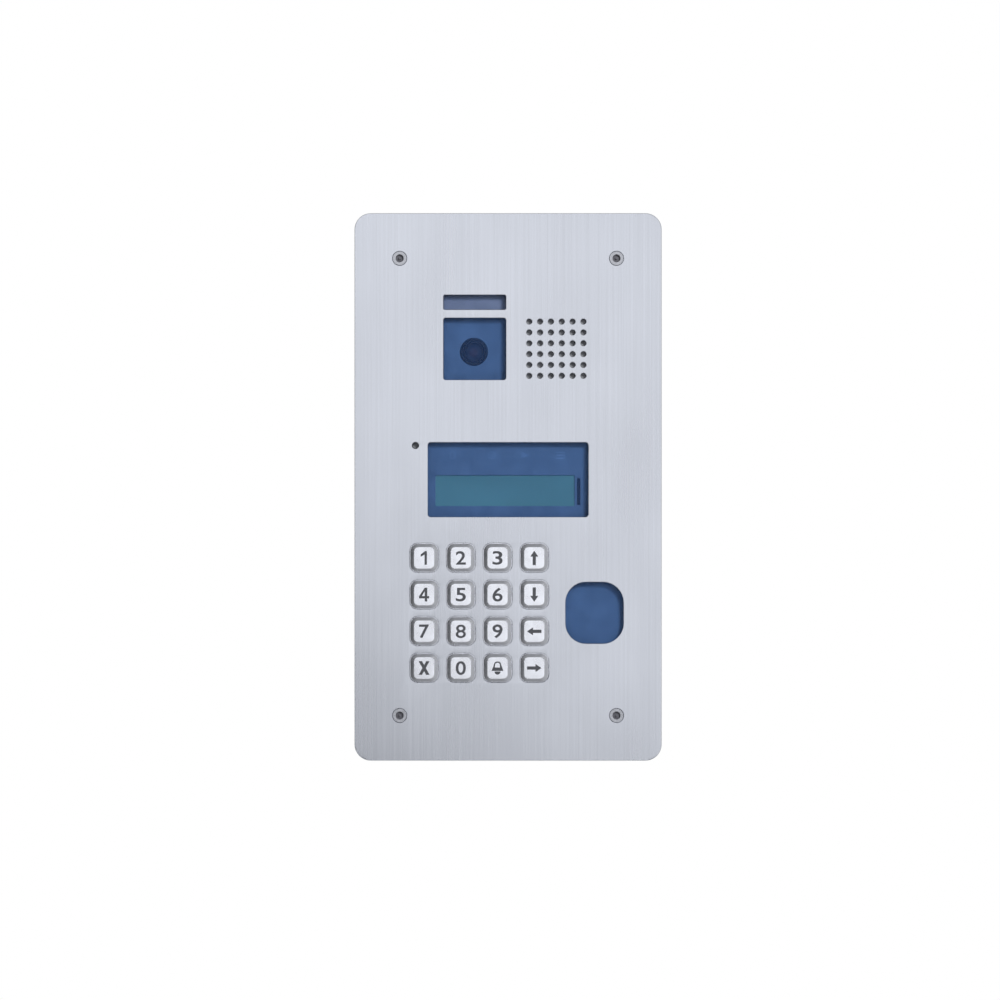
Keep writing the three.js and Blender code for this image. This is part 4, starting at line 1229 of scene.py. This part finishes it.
def make_capacitors(back):
    """Electrolytic capacitors: crimped sleeves with bare tops."""
    cans, tops = Solid(), Solid()
    for x, z, radius, height in [(-58, -80, 5, 12), (-46, -80, 5, 12), (58, -72, 4, 9), (58, -60, 4, 9),
                                 (58, 0, 3.2, 7), (48, 34, 3.2, 7), (-20, 34, 3.2, 7)]:
        top = back + height
        foot = [(0, back), (radius, back)]
        crimp = [(radius, back + 1.2), (radius - 0.3, back + 1.6), (radius, back + 2)]
        rim = [(radius, top - 0.4), (radius - 0.5, top), (radius - 0.5, top - 0.2), (0, top - 0.2)]
        cans.turn([*foot, *crimp, *rim], x, z, 32)
        tops.turn(disc(radius - 0.55, top - 0.15, top - 0.3), x, z, 32)
    show("board_capacitors", cans, CAN_SLEEVE)
    show("board_capacitor_tops", tops, TIN)


def make_tall_parts(back):
    """A pair of relays, a speech transformer and the ribbon sockets."""
    relays, sockets = Solid(), Solid()
    for x in (-12, 8):
        relays.box(x, -80, 15.5, 12.5, back, back + 11.5, 0.5)
    show("board_relays", relays, RELAY)
    transformer = Solid().box(32, -82, 13, 13, back, back + 10, 0.4).box(32, -82, 17, 8, back, back + 8, 0.4)
    show("board_transformer", transformer, FERRITE)
    for x, z, width in [(0, -31, 22), (-16, -71, 26), (-19, 29, 14), (40, 34, 8)]:
        sockets.box(x, z, width, 4.5, back, back + 3, 0.25)
    show("board_sockets", sockets, WHITE_PLASTIC)


TERMINAL_COUNT, TERMINAL_WIDTH = 12, 5
TALL_HALF, LOW_HALF = 7, 5  # how much of the terminals' height each half takes


def make_terminals():
    """A row of screw terminals: screws in the tall half, wire entries in the low half."""
    block = span("terminal_block")
    poles, screws, clamps = Solid(), Solid(), Solid()
    pitch = (block.width - TERMINAL_WIDTH) / (TERMINAL_COUNT - 1)
    tall = Rounded(0, block.top - TALL_HALF / 2, TERMINAL_WIDTH, TALL_HALF, 0.2, 2)
    low = Rounded(0, block.bottom + LOW_HALF / 2, TERMINAL_WIDTH, LOW_HALF, 0.2, 2)
    head = block.back - 2
    slot = head - 0.6
    screw = [(0, head - 2), (1.95, head - 2), (1.95, head - 0.3), (1.7, head), (0.9, head), (0.5, slot),
             (0, slot)]
    for pole in range(TERMINAL_COUNT):
        tall.x = low.x = block.left + TERMINAL_WIDTH / 2 + pole * pitch
        well = Circle(tall.x, tall.z, 2, 24)
        entry = Rounded(low.x, low.z, 3.2, 3, 0.4, 2)
        poles.slab(tall, block.front, block.back, 0.2, [well])
        poles.slab(low, block.front, block.front + block.depth / 2, 0.2, [entry])
        screws.turn(screw, tall.x, tall.z, 24)
        clamps.box(low.x, low.z, 3, 2.8, block.front + 1, block.front + 3, 0.2)
    show("terminal_poles", poles, GREEN_PLASTIC, replaces=["terminal_block"])
    show("terminal_screws", screws, TIN)
    show("terminal_clamps", clamps, TIN)


BOARD_BACK = make_main_board()
make_chips(BOARD_BACK)
make_capacitors(BOARD_BACK)
make_tall_parts(BOARD_BACK)
make_terminals()
keep(WHITE_PLASTIC, "volume_trimmer", bevel=0.25)
keep(BLACK_PLASTIC, "tamper_switch", "volume_rotor", bevel=0.25)
keep(WHITE_PLASTIC, "tamper_plunger", bevel=0.25)
keep(FLAT_CABLE, "display_ribbon", "keypad_ribbon", "camera_ribbon", bevel=0.05)
keep(SLEEVE, "speaker_lead", bevel=0.1)


# ------------------------------------------------------------------ wall box

BOX = span("flush_box")
BOX_WALL, BOX_CORNER, BOX_BEND = 1.2, 3, 2.4
FIXING_X, FIXING_Z, FIXING_HOLE = 45, 95, 2.5
CABLE_HOLE, CABLE_RADIUS = 11.5, 5
KNOCKOUT_X, KNOCKOUT_RADIUS = 35, 10
LUG_SIDE, LUG_THICKNESS, LUG_HOLE, LUG_NUT = 17.8, 1.6, 2.3, 8


def standing(x, z):
    """A place whose depth axis points up, on the box's middle depth line for cables."""
    grommet = span("cable_grommet")
    return Matrix.Translation((x, grommet.y, z)) @ Matrix.Rotation(math.radians(90), 4, "X")


def make_wall_box():
    """A folded sheet box with a cable hole below, two knock-outs above and fixing holes in its back."""
    outer = Rounded(0, 0, BOX.width, BOX.height, BOX_CORNER)
    inner = outer.grown(-BOX_WALL)
    shell = Solid().flat(outer, BOX.front, BOX.back, back_edge=BOX_BEND, steps=5)
    hollow = Solid().flat(inner, BOX.front - 1, BOX.back - BOX_WALL, back_edge=BOX_BEND - BOX_WALL, steps=5)
    holes = Solid()
    for x, z in corners_about(0, 0, FIXING_X, FIXING_Z):
        holes.flat(Circle(x, z, FIXING_HOLE, 24), BOX.back - 3, BOX.back + 1)
    cable = Solid(standing(0, BOX.bottom)).flat(Circle(0, 0, CABLE_HOLE, 48), -3, 3)
    near, far = KNOCKOUT_RADIUS, KNOCKOUT_RADIUS + 1
    ring = [(near, -0.6), (far, -0.6), (far, 1), (near, 1)]
    scores = [Solid(standing(x, BOX.top)).turn(ring) for x in (-KNOCKOUT_X, KNOCKOUT_X)]
    made = shell.mesh("box_shell")
    for tool in (hollow, holes, cable, *scores):
        made = cut(made, tool.mesh("tool"))
    show("flush_box_shell", made, ZINC, "wall_box", replaces=["flush_box"])


def make_lugs():
    """Flanges in the box's corners, each with a square nut behind it."""
    lugs, nuts = Solid(), Solid()
    back = BOX.front + LUG_THICKNESS
    for name in SCREWS:
        screw = span(name)
        reach = (BOX.width - LUG_SIDE) / 2 - BOX_WALL - abs(screw.x)
        x, z = (place + math.copysign(reach, place) for place in (screw.x, screw.z))
        hole = Circle(screw.x, screw.z, LUG_HOLE, 24)
        lugs.slab(Rounded(x, z, LUG_SIDE, LUG_SIDE, 1.5), BOX.front, back, 0.2, [hole])
        nut = Rounded(screw.x, screw.z, LUG_NUT, LUG_NUT, 0.8)
        nuts.slab(nut, back + 0.05, back + 3.8, 0.3, [hole])
    show("flush_box_lugs", lugs, ZINC, "wall_box")
    show("lug_nuts", nuts, NUT_STEEL, "wall_box")


def make_grommet():
    """A ring with a groove for the box's wall and a lip round the cable, the same above and below."""
    grommet = span("cable_grommet")
    outer, groove = grommet.width / 2, CABLE_HOLE - GAP
    half, lip = grommet.height / 2, BOX_WALL / 2 + GAP
    lower = [(CABLE_RADIUS, -0.6), (CABLE_RADIUS + 1, 0.6 - half), (CABLE_RADIUS + 1.6, -half),
             (outer - 0.6, -half), (outer, 0.6 - half), (outer, -lip), (groove, -lip)]
    upper = [(radius, -depth) for radius, depth in reversed(lower)]
    ring = Solid(standing(0, grommet.z)).turn([*lower, *upper])
    show("cable_grommet_rubber", ring, BLACK_RUBBER, "wall_box", replaces=["cable_grommet"])


make_wall_box()
make_lugs()
make_grommet()


# ------------------------------------------------------------------ studio

def add_light(name, location, size, power):
    """A soft square lamp that looks at the panel; metal doesn't mirror it, so it leaves no glare."""
    data = bpy.data.lights.new(name, "AREA")
    data.size = size
    data.energy = power
    lamp = bpy.data.objects.new(name, data)
    lamp.location = location
    lamp.rotation_euler = (-Vector(location)).to_track_quat("-Z", "Y").to_euler()
    lamp.visible_glossy = False
    bpy.context.scene.collection.objects.link(lamp)


def add_sky():
    """White all round to the camera; to the object, a room with a big soft screen in front of it.

    The screen has dim surroundings, most of all on the left, and a dark stripe towards its lower left.
    """
    world = bpy.data.worlds.new("studio")
    bpy.context.scene.world = world
    world.use_nodes = True
    nodes = Nodes(world.node_tree)
    direction = nodes.node("TexCoord").outputs["Generated"]

    def facing(way):
        links = {0: direction, 1: Vector(way).normalized()}
        return nodes.node("VectorMath", links, operation="DOT_PRODUCT").outputs["Value"]

    screen = nodes.between(facing((0, -1, 0)), 0.5, 0.85)
    from_stripe = nodes.math("ABSOLUTE", nodes.math("ADD", facing((0.6, 0, 0.8)), 0.25))
    stripe = nodes.between(from_stripe, 0.12, 0.18, 0.02, 1)
    level = nodes.math("MULTIPLY", stripe, nodes.between(facing((0.8, 0, 0.6)), -0.15, 0.25, 1.55, 0.9))
    sides = nodes.between(facing((1, 0, 0)), -0.9, 0.6, 0.1, 0.43)
    behind = nodes.between(facing((0, 1, 0)), -0.15, 0.3, 0, 0.7)
    around = nodes.math("MAXIMUM", sides, behind)
    room = nodes.node("MixRGB", {"Fac": screen, "Color1": around, "Color2": level}).outputs[0]
    seen = nodes.node("LightPath").outputs["Is Camera Ray"]
    strength = nodes.math("MAXIMUM", seen, room)
    color = nodes.node("MixRGB", {"Fac": seen, "Color1": (0.97, 0.98, 1.0), "Color2": (1, 1, 1)})
    background = world.node_tree.nodes["Background"]
    nodes.feed(background.inputs["Strength"], strength)
    nodes.feed(background.inputs["Color"], color.outputs[0])


FLOOR_RADIUS, FLOOR_THICKNESS, MOUNTING_HEIGHT = 5000, 40, 1350


def add_floor():
    """A plain pale floor, as far under the panel as such panels are mounted."""
    mesh = Solid().turn(disc(FLOOR_RADIUS, -FLOOR_THICKNESS, 0), sides=96).mesh("floor")
    pale = Finish("pale_floor", None, (0.92, 0.92, 0.92), 0.8)
    pale.gloss(pale.noise(300), 0.05)
    mesh.materials.append(pale.material)
    piece = placed_object("floor", mesh, (0, 0, -MOUNTING_HEIGHT))
    piece.rotation_euler = (math.radians(90), 0, 0)
    piece.visible_glossy = False


add_sky()
add_floor()
add_light("key_light", (0.7, -1.5, 0.75), 0.35, 30)
add_light("left_fill", (-1.3, 0.9, 0.6), 0.9, 14)
add_light("right_fill", (1.3, 1.1, 0.9), 0.9, 20)
bpy.context.scene.view_settings.view_transform = "Standard"
